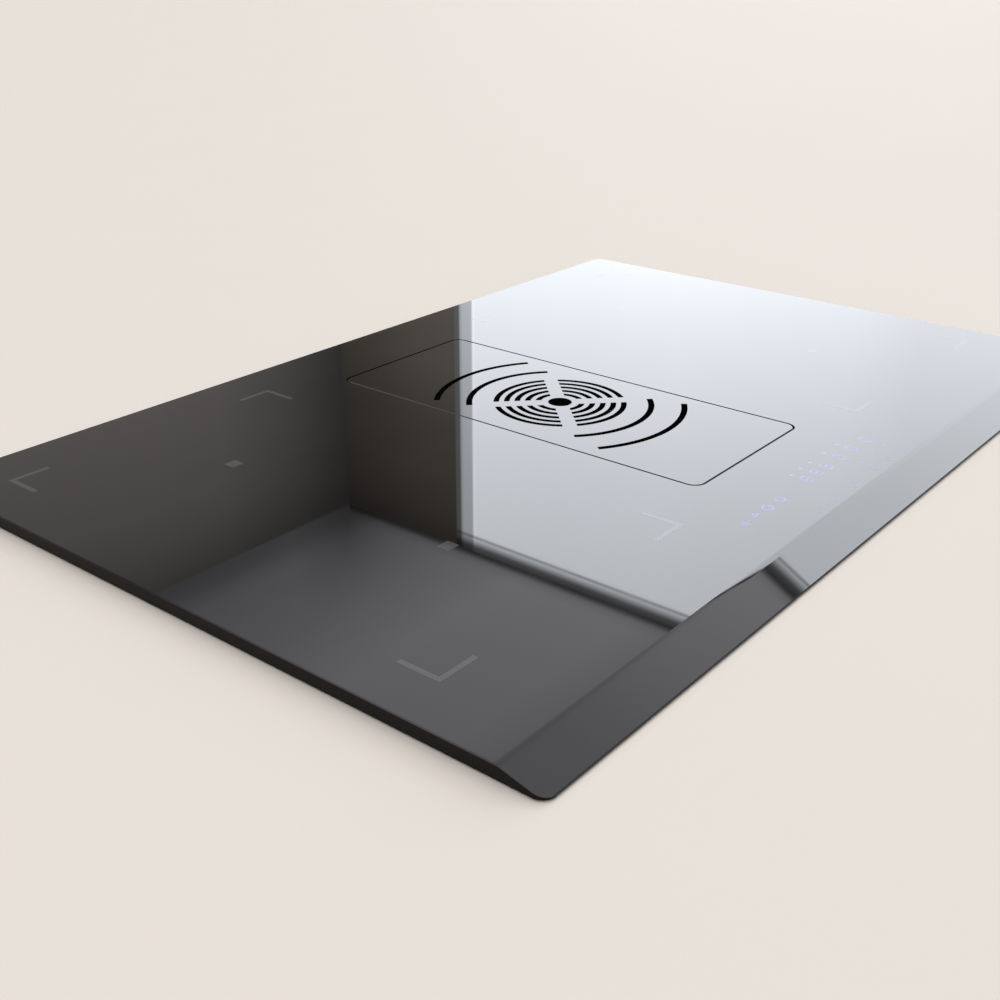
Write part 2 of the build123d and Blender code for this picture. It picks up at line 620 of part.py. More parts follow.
def filter_handle():
    """Wire bail that lies flat in the basin and turns in two holes of its walls."""
    end = FILTER_WIDTH / 2 - PIVOT_CLEAR
    arm = FILTER_WIDTH / 2 - FILTER_WALL - 2 * HANDLE_WIRE_R
    rear, front = PANEL_Y, PANEL_Y - HANDLE_REACH
    start_bend = HANDLE_WIRE_R
    path = FilletPolyline(
        (-end, rear, HANDLE_Z),
        (-arm, rear, HANDLE_Z),
        (-arm, front, HANDLE_Z),
        (arm, front, HANDLE_Z),
        (arm, rear, HANDLE_Z),
        (end, rear, HANDLE_Z),
        radius=[start_bend, HANDLE_BEND_R, HANDLE_BEND_R, start_bend],
    )
    return sweep(Plane((-end, rear, HANDLE_Z), z_dir=(1, 0, 0)) * Circle(HANDLE_WIRE_R), path)


# ---------------------------------------------------------------- casing
def flange_screw_places():
    """Screws that hold the air box's flange against the tray, in x and y."""
    half_x = AIR_BOX_WIDTH / 2 + BOX_FLANGE / 2
    rows = steps(4, BOX_DEPTH / 4)
    return [(side * half_x, BOX_Y + y) for side in (-1, 1) for y in rows]


def casing_tray():
    """Walls and flange of the tray, folded from one strip, with the exhaust slots and the weld nuts."""
    wall_height = UNDERSIDE - TRAY_FLOOR
    tray = block(TRAY_WIDTH, TRAY_DEPTH, wall_height, z=TRAY_FLOOR, corner=TRAY_CORNER_R)
    tray += block(FLANGE_WIDTH, FLANGE_DEPTH, SHEET, z=UNDERSIDE - SHEET, corner=TRAY_CORNER_R)
    inner_r = TRAY_CORNER_R - SHEET
    tray -= block(2 * TRAY_INNER_X, 2 * TRAY_INNER_Y, wall_height, z=TRAY_FLOOR, corner=inner_r)
    middle_z = (TRAY_BOTTOM + UNDERSIDE) / 2
    exhaust = Sketch()
    for side in SIDES.values():
        for offset in steps(EXHAUST_COUNT, VENT_PITCH):
            exhaust += Pos(side * BOARD_X + offset, middle_z) * Rectangle(VENT_SLOT, EXHAUST_HEIGHT)
    tray -= extrude(Pos(0, TRAY_DEPTH / 2, 0) * (Plane.XZ * exhaust), amount=SHEET)
    for x, y in corners(CLAMP_X, CLAMP_Y):
        tray += disc(WELD_NUT_R, WELD_NUT_HEIGHT, x, y, UNDERSIDE - SHEET - WELD_NUT_HEIGHT)
        tray -= disc(CLAMP_SCREW_R, WELD_NUT_HEIGHT, x, y, UNDERSIDE - SHEET - WELD_NUT_HEIGHT)
    return tray


def casing_floor():
    """Floor plate welded under the tray's walls, open for the shaft, the mains cable and cooling air."""
    gap = TRAY_HOLE_CLEAR
    radius = SHAFT_CORNER_R + SHAFT_WALL + gap
    holes = Pos(0, PANEL_Y) * RectangleRounded(SPOUT_WIDTH + 2 * gap, SPOUT_LENGTH + 2 * gap, radius)
    holes += Pos(GLAND_X, TERMINAL_Y) * Circle(GLAND_R + GLAND_FIT)
    for x, y in flange_screw_places():
        holes += Pos(x, y) * Circle(SCREW_R + SCREW_FIT)
    for side in SIDES.values():
        for offset in steps(VENT_COUNT, VENT_PITCH):
            holes += Pos(side * BOARD_X + offset, FAN_Y) * Rectangle(VENT_SLOT, VENT_LENGTH)
    floor = block(TRAY_WIDTH, TRAY_DEPTH, SHEET, z=TRAY_BOTTOM, corner=TRAY_CORNER_R)
    return floor - extrude(Pos(0, 0, TRAY_BOTTOM) * holes, amount=SHEET)


def housing_screws():
    """Equal screws: from the air box's flange into the tray, and from the scroll into the air box."""
    box_grip = MOULDING + SHEET + SCREW_TAIL
    screws = [screw(x, y, TRAY_BOTTOM - MOULDING, box_grip) for x, y in flange_screw_places()]
    scroll_level = BOX_BOTTOM - SCROLL_FLANGE_THICK
    scroll_grip = SCROLL_FLANGE_THICK + MOULDING + SCREW_TAIL
    screws += [screw(x, y, scroll_level, scroll_grip) for x, y in scroll_screw_places()]
    return group(screws)


# ---------------------------------------------------------------- air box and drip container
def air_box():
    """Moulded box under the tray that leads the air from the shaft to the blower's inlet."""
    box = block(AIR_BOX_WIDTH, BOX_DEPTH, AIR_BOX_HEIGHT, 0, BOX_Y, BOX_BOTTOM, AIR_BOX_CORNER_R)
    flange_z = TRAY_BOTTOM - MOULDING
    box += block(
        AIR_BOX_WIDTH + 2 * BOX_FLANGE, BOX_DEPTH, MOULDING, 0, BOX_Y, flange_z, AIR_BOX_CORNER_R
    )
    for y in steps(int(BOX_DEPTH / RIB_PITCH) - 1, RIB_PITCH):
        box += block(AIR_BOX_WIDTH + 2 * RIB_DEPTH, RIB_THICK, AIR_BOX_HEIGHT, 0, BOX_Y + y, BOX_BOTTOM)
    box -= block(
        AIR_BOX_WIDTH - 2 * MOULDING, BOX_DEPTH - 2 * MOULDING, AIR_BOX_HEIGHT,
        0, BOX_Y, BOX_FLOOR, AIR_BOX_CORNER_R - MOULDING,
    )
    box -= block(
        SKIRT_WIDTH - 2 * SKIRT_WALL, SKIRT_LENGTH - 2 * SKIRT_WALL, MOULDING,
        0, CONTAINER_Y, BOX_BOTTOM, SKIRT_CORNER_R - SKIRT_WALL,
    )
    box -= disc(INLET_R + BELL_R, MOULDING, BLOWER_X, BLOWER_Y, BOX_BOTTOM)
    for x, y in flange_screw_places():
        box -= disc(SCREW_R + SCREW_FIT, MOULDING, x, y, flange_z)
    for x, y in scroll_screw_places():
        box -= disc(SCREW_R + SCREW_FIT, MOULDING, x, y, BOX_BOTTOM)
    return box


def drip_skirt():
    """Collar under the hole in the air box's floor that leads liquid into the container."""
    skirt_z = BOX_BOTTOM - SKIRT_DEPTH
    skirt = block(SKIRT_WIDTH, SKIRT_LENGTH, SKIRT_DEPTH, 0, CONTAINER_Y, skirt_z, SKIRT_CORNER_R)
    return skirt - block(
        SKIRT_WIDTH - 2 * SKIRT_WALL, SKIRT_LENGTH - 2 * SKIRT_WALL, SKIRT_DEPTH,
        0, CONTAINER_Y, skirt_z, SKIRT_CORNER_R - SKIRT_WALL,
    )


def drip_seal():
    """Rubber ring on the container's rim, round the skirt."""
    outer = block(
        CONTAINER_WIDTH, CONTAINER_DEPTH, DRIP_SEAL_THICK,
        0, CONTAINER_Y, BOX_BOTTOM - DRIP_SEAL_THICK, CONTAINER_CORNER_R,
    )
    inner_r = CONTAINER_CORNER_R - CONTAINER_WALL
    return outer - block(
        CONTAINER_WIDTH - 2 * CONTAINER_WALL, CONTAINER_DEPTH - 2 * CONTAINER_WALL, DRIP_SEAL_THICK,
        0, CONTAINER_Y, BOX_BOTTOM - DRIP_SEAL_THICK, inner_r,
    )


def drip_container():
    """Cup for spilt liquid that pushes up over the air box's skirt."""
    bottom = BOX_BOTTOM - DRIP_SEAL_THICK - CONTAINER_HEIGHT
    cup = block(
        CONTAINER_WIDTH, CONTAINER_DEPTH, CONTAINER_HEIGHT, 0, CONTAINER_Y, bottom, CONTAINER_CORNER_R
    )
    cup = fillet(cup.edges().group_by(Axis.Z)[0], CONTAINER_FOOT_R)
    inner_r = CONTAINER_CORNER_R - CONTAINER_WALL
    hollow = block(
        CONTAINER_WIDTH - 2 * CONTAINER_WALL, CONTAINER_DEPTH - 2 * CONTAINER_WALL, CONTAINER_HEIGHT,
        0, CONTAINER_Y, bottom + CONTAINER_WALL, inner_r,
    )
    hollow = fillet(hollow.edges().group_by(Axis.Z)[0], CONTAINER_FOOT_R - CONTAINER_WALL)
    for z in steps(3, 4 * GRIP_RIB):
        rib_z = bottom + CONTAINER_HEIGHT / 2 + z
        cup += block(
            CONTAINER_WIDTH + 2 * GRIP_RIB, CONTAINER_DEPTH - 2 * GRIP_INSET, GRIP_RIB, 0, CONTAINER_Y, rib_z
        )
    return cup - hollow


# ---------------------------------------------------------------- blower housing
def scroll_outline(grow=0.0):
    """Blower spiral seen from above, with its outlet channel to the rear: three quarter arcs, each
    larger than the one before, and straight channel sides. Grow moves the whole outline outwards."""
    first = (BLOWER_X, BLOWER_Y)
    second = (BLOWER_X - SCROLL_GROWTH, BLOWER_Y)
    third = (BLOWER_X - SCROLL_GROWTH, BLOWER_Y + SCROLL_GROWTH)
    first_r = SCROLL_FIRST_R + grow
    second_r = first_r + SCROLL_GROWTH
    third_r = second_r + SCROLL_GROWTH
    tongue = math.degrees(math.acos((TONGUE_X + grow) / first_r))
    arcs = [
        CenterArc(first, first_r, 0, tongue),
        CenterArc(second, second_r, 270, 90),
        CenterArc(third, third_r, 180, 90),
    ]
    end_y = BLOWER_Y + CHANNEL_END
    left = third[0] - third_r
    right = CHANNEL_RIGHT + grow
    tongue_y = BLOWER_Y + first_r * math.sin(math.radians(tongue))
    sides = [
        Line((right, tongue_y), (right, end_y)),
        Line((right, end_y), (left, end_y)),
        Line((left, end_y), (left, third[1])),
    ]
    return make_face(arcs + sides)


def scroll_screw_places():
    """Screws from the scroll's flange into the air box's floor, in x and y."""
    radius = SCROLL_FIRST_R + MOULDING + SCROLL_FLANGE / 2
    first = (BLOWER_X, BLOWER_Y)
    second = (BLOWER_X - SCROLL_GROWTH, BLOWER_Y)
    third = (BLOWER_X - SCROLL_GROWTH, BLOWER_Y + SCROLL_GROWTH)
    turns = [
        (first, radius, 55),
        (first, radius, 15),
        (second, radius + SCROLL_GROWTH, 315),
        (third, radius + 2 * SCROLL_GROWTH, 200),
    ]
    return [
        (c[0] + r * math.cos(math.radians(a)), c[1] + r * math.sin(math.radians(a))) for c, r, a in turns
    ]


def scroll_housing():
    """Lower blower housing: spiral wall, ribbed floor with the motor's seat, and top flange."""
    base = Pos(0, 0, SCROLL_BOTTOM)
    housing = extrude(base * scroll_outline(MOULDING), amount=SCROLL_HEIGHT)
    flange = Pos(0, 0, BOX_BOTTOM - SCROLL_FLANGE_THICK) * scroll_outline(MOULDING + SCROLL_FLANGE)
    housing += extrude(flange, amount=SCROLL_FLANGE_THICK)
    housing -= extrude(Pos(0, 0, SCROLL_FLOOR) * scroll_outline(), amount=SCROLL_HEIGHT)
    rib_length = SCROLL_FIRST_R - FLOOR_RIB_INNER_R
    rib_middle = FLOOR_RIB_INNER_R + rib_length / 2
    axis = Pos(BLOWER_X, BLOWER_Y, SCROLL_BOTTOM - FLOOR_RIB_DEPTH)
    for index in range(FLOOR_RIB_COUNT):
        turn = Rot(0, 0, index * 360 / FLOOR_RIB_COUNT)
        rib = Rectangle(rib_length, RIB_THICK)
        housing += extrude(axis * turn * Pos(rib_middle, 0) * rib, amount=FLOOR_RIB_DEPTH)
    for radius in (FLOOR_RIB_INNER_R, SCROLL_FIRST_R - RIB_THICK):
        hoop = Circle(radius + RIB_THICK / 2) - Circle(radius - RIB_THICK / 2)
        housing += extrude(axis * hoop, amount=FLOOR_RIB_DEPTH)
    for x, y in scroll_screw_places():
        housing -= disc(SCREW_R + SCREW_FIT, SCROLL_HEIGHT, x, y, SCROLL_BOTTOM)
    return housing


def inlet_ring():
    """Bell-mouthed ring that leads the air into the impeller's eye."""
    top = BOX_FLOOR + BELL_WALL
    bell_x = INLET_R + BELL_R
    bell_z = top - BELL_R
    low = bell_z - THROAT_DEPTH
    inner_r = BELL_R - BELL_WALL
    profile = make_face([
        CenterArc((bell_x, bell_z), BELL_R, 90, 90),
        Line((INLET_R, bell_z), (INLET_R, low)),
        Line((INLET_R, low), (INLET_R + BELL_WALL, low)),
        Line((INLET_R + BELL_WALL, low), (INLET_R + BELL_WALL, bell_z)),
        CenterArc((bell_x, bell_z), inner_r, 90, 90),
        Line((bell_x, BOX_FLOOR), (bell_x + BELL_FLANGE, BOX_FLOOR)),
        Line((bell_x + BELL_FLANGE, BOX_FLOOR), (bell_x + BELL_FLANGE, top)),
        Line((bell_x + BELL_FLANGE, top), (bell_x, top)),
    ])
    return Pos(BLOWER_X, BLOWER_Y) * revolve(Plane.XZ * profile, Axis.Z)


def blade(inner_r, curve_r, outer_r, thick):
    """Forward-curved blade seen from above: it leaves the inner radius straight outwards and bends
    towards the way the wheel turns."""
    chord = math.hypot(inner_r, curve_r)
    reach = (chord**2 + curve_r**2 - outer_r**2) / (2 * chord * curve_r)
    sweep_angle = math.degrees(math.acos(reach) - math.atan2(inner_r, curve_r))
    centre = (inner_r, -curve_r)
    end = 90 - sweep_angle
    low, high = curve_r - thick / 2, curve_r + thick / 2
    turned = math.radians(end)
    low_end = (inner_r + low * math.cos(turned), low * math.sin(turned) - curve_r)
    high_end = (inner_r + high * math.cos(turned), high * math.sin(turned) - curve_r)
    return make_face([
        CenterArc(centre, high, end, sweep_angle),
        Line((inner_r, high - curve_r), (inner_r, low - curve_r)),
        CenterArc(centre, low, end, sweep_angle),
        Line(low_end, high_end),
    ])


def impeller():
    """Pressed back plate of the wheel, with a domed hub over the motor and a boss on its shaft."""
    plate = collar(IMPELLER_R, HUB_R - HUB_WALL, SHROUD_THICK, z=IMPELLER_BOTTOM)
    plate += collar(HUB_R, HUB_R - HUB_WALL, HUB_HEIGHT, z=IMPELLER_BOTTOM)
    plate += disc(HUB_R, HUB_WALL, z=ROTOR_TOP)
    dome = plate.edges().filter_by(GeomType.CIRCLE).group_by(Axis.Z)[-1].sort_by(SortBy.RADIUS)[-1]
    plate = fillet(dome, HUB_DOME_R)
    plate += disc(BOSS_R, BOSS_HEIGHT, z=HUB_TOP)
    plate -= disc(SHAFT_R, BOSS_HEIGHT + HUB_WALL, z=ROTOR_TOP)
    return Pos(BLOWER_X, BLOWER_Y) * plate


def impeller_ring():
    """Ring that closes the blades' upper ends, round the wheel's eye."""
    level = IMPELLER_TOP - SHROUD_THICK
    return collar(IMPELLER_R, SHROUD_INNER_R, SHROUD_THICK, BLOWER_X, BLOWER_Y, level)


def impeller_blades():
    """Forward-curved blades that stand between the back plate and the ring."""
    outline = blade(BLADE_INNER_R, BLADE_CURVE_R, IMPELLER_R - BLADE_THICK / 2, BLADE_THICK)
    foot = Pos(0, 0, IMPELLER_BOTTOM + SHROUD_THICK)
    one = extrude(foot * outline, amount=IMPELLER_HEIGHT - 2 * SHROUD_THICK)
    turns = [Rot(0, 0, index * 360 / BLADE_COUNT) for index in range(BLADE_COUNT)]
    return group(Pos(BLOWER_X, BLOWER_Y) * turn * one for turn in turns)


# ---------------------------------------------------------------- blower motor
def motor_rotor():
    """Steel cup with the magnets, under the impeller's hub."""
    cup = disc(ROTOR_R, ROTOR_HEIGHT, z=ROTOR_TOP - ROTOR_HEIGHT)
    cup -= disc(ROTOR_R - ROTOR_WALL, ROTOR_HEIGHT - ROTOR_WALL, z=ROTOR_TOP - ROTOR_HEIGHT)
    cup -= disc(SHAFT_R, ROTOR_WALL, z=ROTOR_TOP - ROTOR_WALL)
    return Pos(BLOWER_X, BLOWER_Y) * cup


def rotor_shaft():
    low = MOUNT_BOTTOM
    return disc(SHAFT_R, HUB_TOP + BOSS_HEIGHT - low, BLOWER_X, BLOWER_Y, low)


def bearing_levels():
    """Undersides of the lower and the upper bearing."""
    tube_top = ROTOR_TOP - ROTOR_WALL - STATOR_GAP
    return MOUNT_BOTTOM + MOUNT_THICK, tube_top - BEARING_HEIGHT


def motor_bearings():
    return group(
        collar(BEARING_R, SHAFT_R + SHAFT_FIT, BEARING_HEIGHT, BLOWER_X, BLOWER_Y, z)
        for z in bearing_levels()
    )


def motor_mount():
    """Foot of the motor: three-armed plate on soft bushes, with the bearing tube in its middle."""
    low_bearing, high_bearing = bearing_levels()
    tube_top = high_bearing + BEARING_HEIGHT
    mount = disc(MOUNT_R / 2, MOUNT_THICK, z=MOUNT_BOTTOM)
    for index in range(MOUNT_ARMS):
        arm = Pos(MOUNT_R / 2, 0) * RectangleRounded(MOUNT_R, 2 * BUSH_R, MOUNT_ARM_CORNER_R)
        turn = Rot(0, 0, index * 360 / MOUNT_ARMS)
        mount += extrude(Pos(0, 0, MOUNT_BOTTOM) * turn * arm, amount=MOUNT_THICK)
    mount += disc(MOTOR_TUBE_R, tube_top - MOUNT_BOTTOM, z=MOUNT_BOTTOM)
    mount -= disc(SHAFT_R + STATOR_GAP, tube_top - MOUNT_BOTTOM, z=MOUNT_BOTTOM)
    mount -= disc(BEARING_R, BEARING_HEIGHT, z=low_bearing)
    mount -= disc(BEARING_R, BEARING_HEIGHT, z=high_bearing)
    return Pos(BLOWER_X, BLOWER_Y) * mount


def motor_bushes():
    """Soft bushes between the motor's arms and the housing's floor."""
    radius = MOUNT_R - BUSH_R
    angles = [math.radians(index * 360 / MOUNT_ARMS) for index in range(MOUNT_ARMS)]
    return group(
        disc(
            BUSH_R, BUSH_HEIGHT,
            BLOWER_X + radius * math.cos(a), BLOWER_Y + radius * math.sin(a), SCROLL_FLOOR,
        )
        for a in angles
    )


def motor_stator():
    """Laminated core on the bearing tube, with its teeth pointing outwards."""
    core = Circle(YOKE_R)
    for index in range(STATOR_TEETH):
        turn = Rot(0, 0, index * 360 / STATOR_TEETH)
        core += turn * Pos(STATOR_R / 2, 0) * Rectangle(STATOR_R - TOOTH_TIP, TOOTH_WIDTH)
    rim = Circle(STATOR_R) - Circle(STATOR_R - TOOTH_TIP)
    for index in range(STATOR_TEETH):
        turn = Rot(0, 0, (index + 0.5) * 360 / STATOR_TEETH)
        rim -= turn * Pos(STATOR_R, 0) * Rectangle(2 * TOOTH_WIDTH, STATOR_SLOT)
    core = core + rim - Circle(MOTOR_TUBE_R)
    level = ROTOR_TOP - ROTOR_WALL - STATOR_GAP - BEARING_HEIGHT - STATOR_HEIGHT
    return extrude(Pos(BLOWER_X, BLOWER_Y, level) * core, amount=STATOR_HEIGHT)


# ---------------------------------------------------------------- outlet
def duct_section(width, height, y, middle_z):
    """Rectangle across the outlet at depth y."""
    return Plane((CHANNEL_X, y, middle_z), x_dir=(1, 0, 0), z_dir=(0, 1, 0)) * RectangleRounded(
        width, height, DUCT_CORNER_R
    )


def outlet_spigot():
    """Plate on the blower's outlet, a flare and a flat-duct collar, with a window that the flaps shut."""
    middle_z = (SCROLL_BOTTOM + BOX_BOTTOM) / 2
    flare_start = OUTLET_Y + OUTLET_PLATE
    wall = 2 * DUCT_WALL
    outer = loft([
        duct_section(CHANNEL_WIDTH + 2 * MOULDING, SCROLL_HEIGHT, flare_start, middle_z),
        duct_section(DUCT_WIDTH, DUCT_HEIGHT, COLLAR_START, DUCT_Z),
    ])
    outer += extrude(duct_section(DUCT_WIDTH, DUCT_HEIGHT, COLLAR_START, DUCT_Z), amount=COLLAR_LENGTH)
    inner = loft([
        duct_section(CHANNEL_WIDTH + 2 * MOULDING - wall, SCROLL_HEIGHT - wall, flare_start, middle_z),
        duct_section(DUCT_WIDTH - wall, DUCT_HEIGHT - wall, COLLAR_START, DUCT_Z),
    ])
    inner += extrude(
        duct_section(DUCT_WIDTH - wall, DUCT_HEIGHT - wall, COLLAR_START, DUCT_Z), amount=COLLAR_LENGTH
    )
    plate_width = CHANNEL_WIDTH + 2 * MOULDING + 2 * OUTLET_PLATE_LAP
    plate = duct_section(plate_width, SCROLL_HEIGHT, OUTLET_Y, middle_z)
    window = duct_section(WINDOW_WIDTH, WINDOW_HEIGHT, OUTLET_Y, DUCT_Z)
    spigot = outer - inner + extrude(plate - window, amount=OUTLET_PLATE)
    for x in flap_pin_xs():
        spigot -= disc(FLAP_PIN_R, SCROLL_HEIGHT, x, PIN_Y, SCROLL_BOTTOM)
    return spigot


def flap_pin_xs():
    return [CHANNEL_X + side * FLAP_PIN_SPACING / 2 for side in (-1, 1)]


def flap_pins():
    return group(disc(FLAP_PIN_R, SCROLL_HEIGHT, x, PIN_Y, SCROLL_BOTTOM) for x in flap_pin_xs())


def flap(side):
    """Non-return flap: a thin leaf on a knuckle that turns about its pin."""
    height = WINDOW_HEIGHT + 2 * FLAP_LAP
    low = DUCT_Z - height / 2
    pin_x = CHANNEL_X + side * FLAP_PIN_SPACING / 2
    edge_x = CHANNEL_X + side * (WINDOW_WIDTH / 2 + FLAP_LAP)
    leaf_y = PIN_Y - KNUCKLE_R + FLAP_THICK / 2
    leaf = block(abs(edge_x - pin_x), FLAP_THICK, height, (edge_x + pin_x) / 2, leaf_y, low)
    leaf += disc(KNUCKLE_R, height, pin_x, PIN_Y, low)
    return leaf - disc(FLAP_PIN_R + PIVOT_CLEAR, height, pin_x, PIN_Y, low)


# ---------------------------------------------------------------- worktop clamps
def clamp(side, end):
    """Flat steel arm that swings out under the worktop, with its tip turned up."""
    x = side * CLAMP_X
    y = end * CLAMP_Y
    arm = disc(CLAMP_WIDTH / 2, CLAMP_THICK, x, y, CLAMP_BOTTOM)
    middle = x + side * CLAMP_REACH / 2
    arm += block(CLAMP_REACH, CLAMP_WIDTH, CLAMP_THICK, middle, y, CLAMP_BOTTOM)
    tip_x = x + side * (CLAMP_REACH - CLAMP_THICK / 2)
    arm += block(CLAMP_THICK, CLAMP_WIDTH, CLAMP_THICK + CLAMP_TIP, tip_x, y, CLAMP_BOTTOM)
    return arm - disc(CLAMP_SCREW_R + PIVOT_CLEAR, CLAMP_THICK, x, y, CLAMP_BOTTOM)


def clamp_screws():
    grip = UNDERSIDE - SHEET - CLAMP_BOTTOM + PIVOT_CLEAR
    level = CLAMP_BOTTOM - PIVOT_CLEAR
    return group(
        screw(x, y, level, grip, CLAMP_SCREW_R, 2 * CLAMP_SCREW_R, CLAMP_HEAD_THICK)
        for x, y in corners(CLAMP_X, CLAMP_Y)
    )


# ---------------------------------------------------------------- coils
def coil_winding(side, y):
    """Flat pancake winding in two bands, with the crossing strands between them."""
    x = side * COIL_X
    winding = collar(COIL_R, COIL_GAP_OUTER_R, COIL_THICK, x, y, FORMER_TOP)
    winding += collar(COIL_GAP_INNER_R, COIL_INNER_R, COIL_THICK, x, y, FORMER_TOP)
    return winding + collar(COIL_GAP_OUTER_R, COIL_GAP_INNER_R, COIL_BRIDGE_THICK, x, y, FORMER_TOP)


def ferrite_places(clear=0.0):
    """Radial bars round a coil's middle, seen from above."""
    bars = Sketch()
    middle = (COIL_R + COIL_INNER_R) / 2
    for index in range(FERRITE_COUNT):
        turn = Rot(0, 0, (index + 0.5) * 360 / FERRITE_COUNT)
        bars += turn * Pos(middle, 0) * Rectangle(FERRITE_LENGTH + 2 * clear, FERRITE_WIDTH + 2 * clear)
    return bars


def coil_formers():
    """Moulded plates under the windings, with pockets for the ferrite bars below."""
    formers = []
    for side in SIDES.values():
        for y in COIL_YS:
            plate = disc(FORMER_R, FORMER_THICK, side * COIL_X, y, CARRIER_TOP)
            pockets = Pos(side * COIL_X, y, CARRIER_TOP) * ferrite_places(FERRITE_CLEAR)
            formers.append(plate - extrude(pockets, amount=FERRITE_THICK))
    return group(formers)


def ferrite_bars():
    bars = []
    for side in SIDES.values():
        for y in COIL_YS:
            place = Pos(side * COIL_X, y, CARRIER_TOP)
            bars.append(extrude(place * ferrite_places(), amount=FERRITE_THICK))
    return group(bars)


def post_places(side):
    half_x = CARRIER_WIDTH / 2 - POST_INSET
    half_y = CARRIER_DEPTH / 2 - POST_INSET
    return corners(half_x, half_y, side * COIL_X, CARRIER_Y)


def coil_carrier(side):
    """Aluminium plate that presses both coils of one side up against the glass."""
    plate = block(
        CARRIER_WIDTH, CARRIER_DEPTH, CARRIER_THICK,
        side * COIL_X, CARRIER_Y, CARRIER_BOTTOM, CARRIER_CORNER_R,
    )
    for y in COIL_YS:
        plate -= disc(CARRIER_HOLE_R, CARRIER_THICK, side * COIL_X, y, CARRIER_BOTTOM)
    for x, y in post_places(side):
        plate -= disc(POST_NECK_R + FERRITE_CLEAR, CARRIER_THICK, x, y, CARRIER_BOTTOM)
    return plate


def carrier_posts():
    """Posts from the tray's floor that carry the coil plates, each with a locating neck."""
    posts = []
    for side in SIDES.values():
        for x, y in post_places(side):
            post = disc(POST_R, CARRIER_BOTTOM - TRAY_FLOOR, x, y, TRAY_FLOOR)
            posts.append(post + disc(POST_NECK_R, POST_NECK, x, y, CARRIER_BOTTOM))
    return group(posts)


def insulating_sheets():
    """Thin insulating sheets between the windings and the glass."""
    sheets = []
    for side in SIDES.values():
        sheet = block(
            CARRIER_WIDTH, CARRIER_DEPTH, SHEET_THICK, side * COIL_X, CARRIER_Y, COIL_TOP, CARRIER_CORNER_R
        )
        for y in COIL_YS:
            sheet -= disc(SENSOR_R + SENSOR_CLEAR, SHEET_THICK, side * COIL_X, y, COIL_TOP)
        sheets.append(sheet)
    return group(sheets)


def coil_sensors():
    """Temperature sensors in the coils' middles, pressed against the glass."""
    return group(
        disc(SENSOR_R, UNDERSIDE - FORMER_TOP, side * COIL_X, y, FORMER_TOP)
        for side in SIDES.values()
        for y in COIL_YS
    )


# ---------------------------------------------------------------- power electronics
def power_board(side):
    return block(BOARD_WIDTH, BOARD_DEPTH, BOARD_THICK, side * BOARD_X, BOARD_Y, BOARD_BOTTOM)


def board_standoffs():
    half_x = BOARD_WIDTH / 2 - STANDOFF_INSET
    half_y = BOARD_DEPTH / 2 - STANDOFF_INSET
    places = [place for side in SIDES.values() for place in corners(half_x, half_y, side * BOARD_X, BOARD_Y)]
    return group(disc(STANDOFF_R, STANDOFF_HEIGHT, x, y, TRAY_FLOOR) for x, y in places)


def heatsink(side):
    """Extruded heatsink whose fins run from the cooling fan to the rear."""
    comb = Pos(0, HEATSINK_BASE / 2) * Rectangle(HEATSINK_WIDTH, HEATSINK_BASE)
    pitch = (HEATSINK_WIDTH - FIN_THICK) / (FIN_COUNT - 1)
    for x in steps(FIN_COUNT, pitch):
        comb += Pos(x, HEATSINK_HEIGHT / 2) * Rectangle(FIN_THICK, HEATSINK_HEIGHT)
    place = Pos(side * BOARD_X, HEATSINK_Y + HEATSINK_DEPTH / 2, BOARD_TOP)
    return extrude(place * (Plane.XZ * comb), amount=HEATSINK_DEPTH)


def power_transistors():
    """Flat power transistors that stand on the boards against the heatsinks."""
    parts = []
    for side in SIDES.values():
        x = side * (BOARD_X - HEATSINK_WIDTH / 2 - TRANSISTOR_THICK / 2)
        for y in steps(TRANSISTOR_COUNT, TRANSISTOR_PITCH):
            parts.append(
                block(TRANSISTOR_THICK, TRANSISTOR_WIDTH, TRANSISTOR_HEIGHT, x, HEATSINK_Y + y, BOARD_TOP)
            )
    return group(parts)


def capacitors():
    width, depth, height = CAPACITOR_SIZE
    parts = []
    for side in SIDES.values():
        x = side * (BOARD_X + BOARD_WIDTH / 2 - CAPACITOR_INSET - width / 2)
        for y in steps(CAPACITOR_COUNT, CAPACITOR_PITCH):
            parts.append(block(width, depth, height, x, BOARD_Y + y, BOARD_TOP))
    return group(parts)


def filter_chokes():
    parts = []
    for side in SIDES.values():
        x = side * (BOARD_X - BOARD_WIDTH / 2 + CHOKE_INSET)
        for y in steps(CHOKE_COUNT, CHOKE_PITCH):
            parts.append(collar(CHOKE_R, CHOKE_BORE_R, CHOKE_HEIGHT, x, BOARD_Y + y, BOARD_TOP))
    return group(parts)


def fan_housing(side):
    """Radial cooling fan's box: air in through its floor, out to the rear over the heatsink."""
    x = side * BOARD_X
    box = block(FAN_SIZE, FAN_SIZE, FAN_HEIGHT, x, FAN_Y, TRAY_FLOOR, FAN_CORNER_R)
    inner = FAN_SIZE - 2 * FAN_WALL
    hollow_z = TRAY_FLOOR + FAN_WALL
    hollow_height = FAN_HEIGHT - 2 * FAN_WALL
    box -= block(inner, inner, hollow_height, x, FAN_Y, hollow_z)
    box -= block(inner, FAN_SIZE, hollow_height, x, FAN_Y + FAN_SIZE / 2, hollow_z)
    box -= disc(FAN_INTAKE_R, FAN_WALL, x, FAN_Y, TRAY_FLOOR)
    top = TRAY_FLOOR + FAN_HEIGHT - FAN_WALL
    return box + disc(FAN_PIN_R, top - hollow_z - FAN_RUN_GAP, x, FAN_Y, hollow_z + FAN_RUN_GAP)


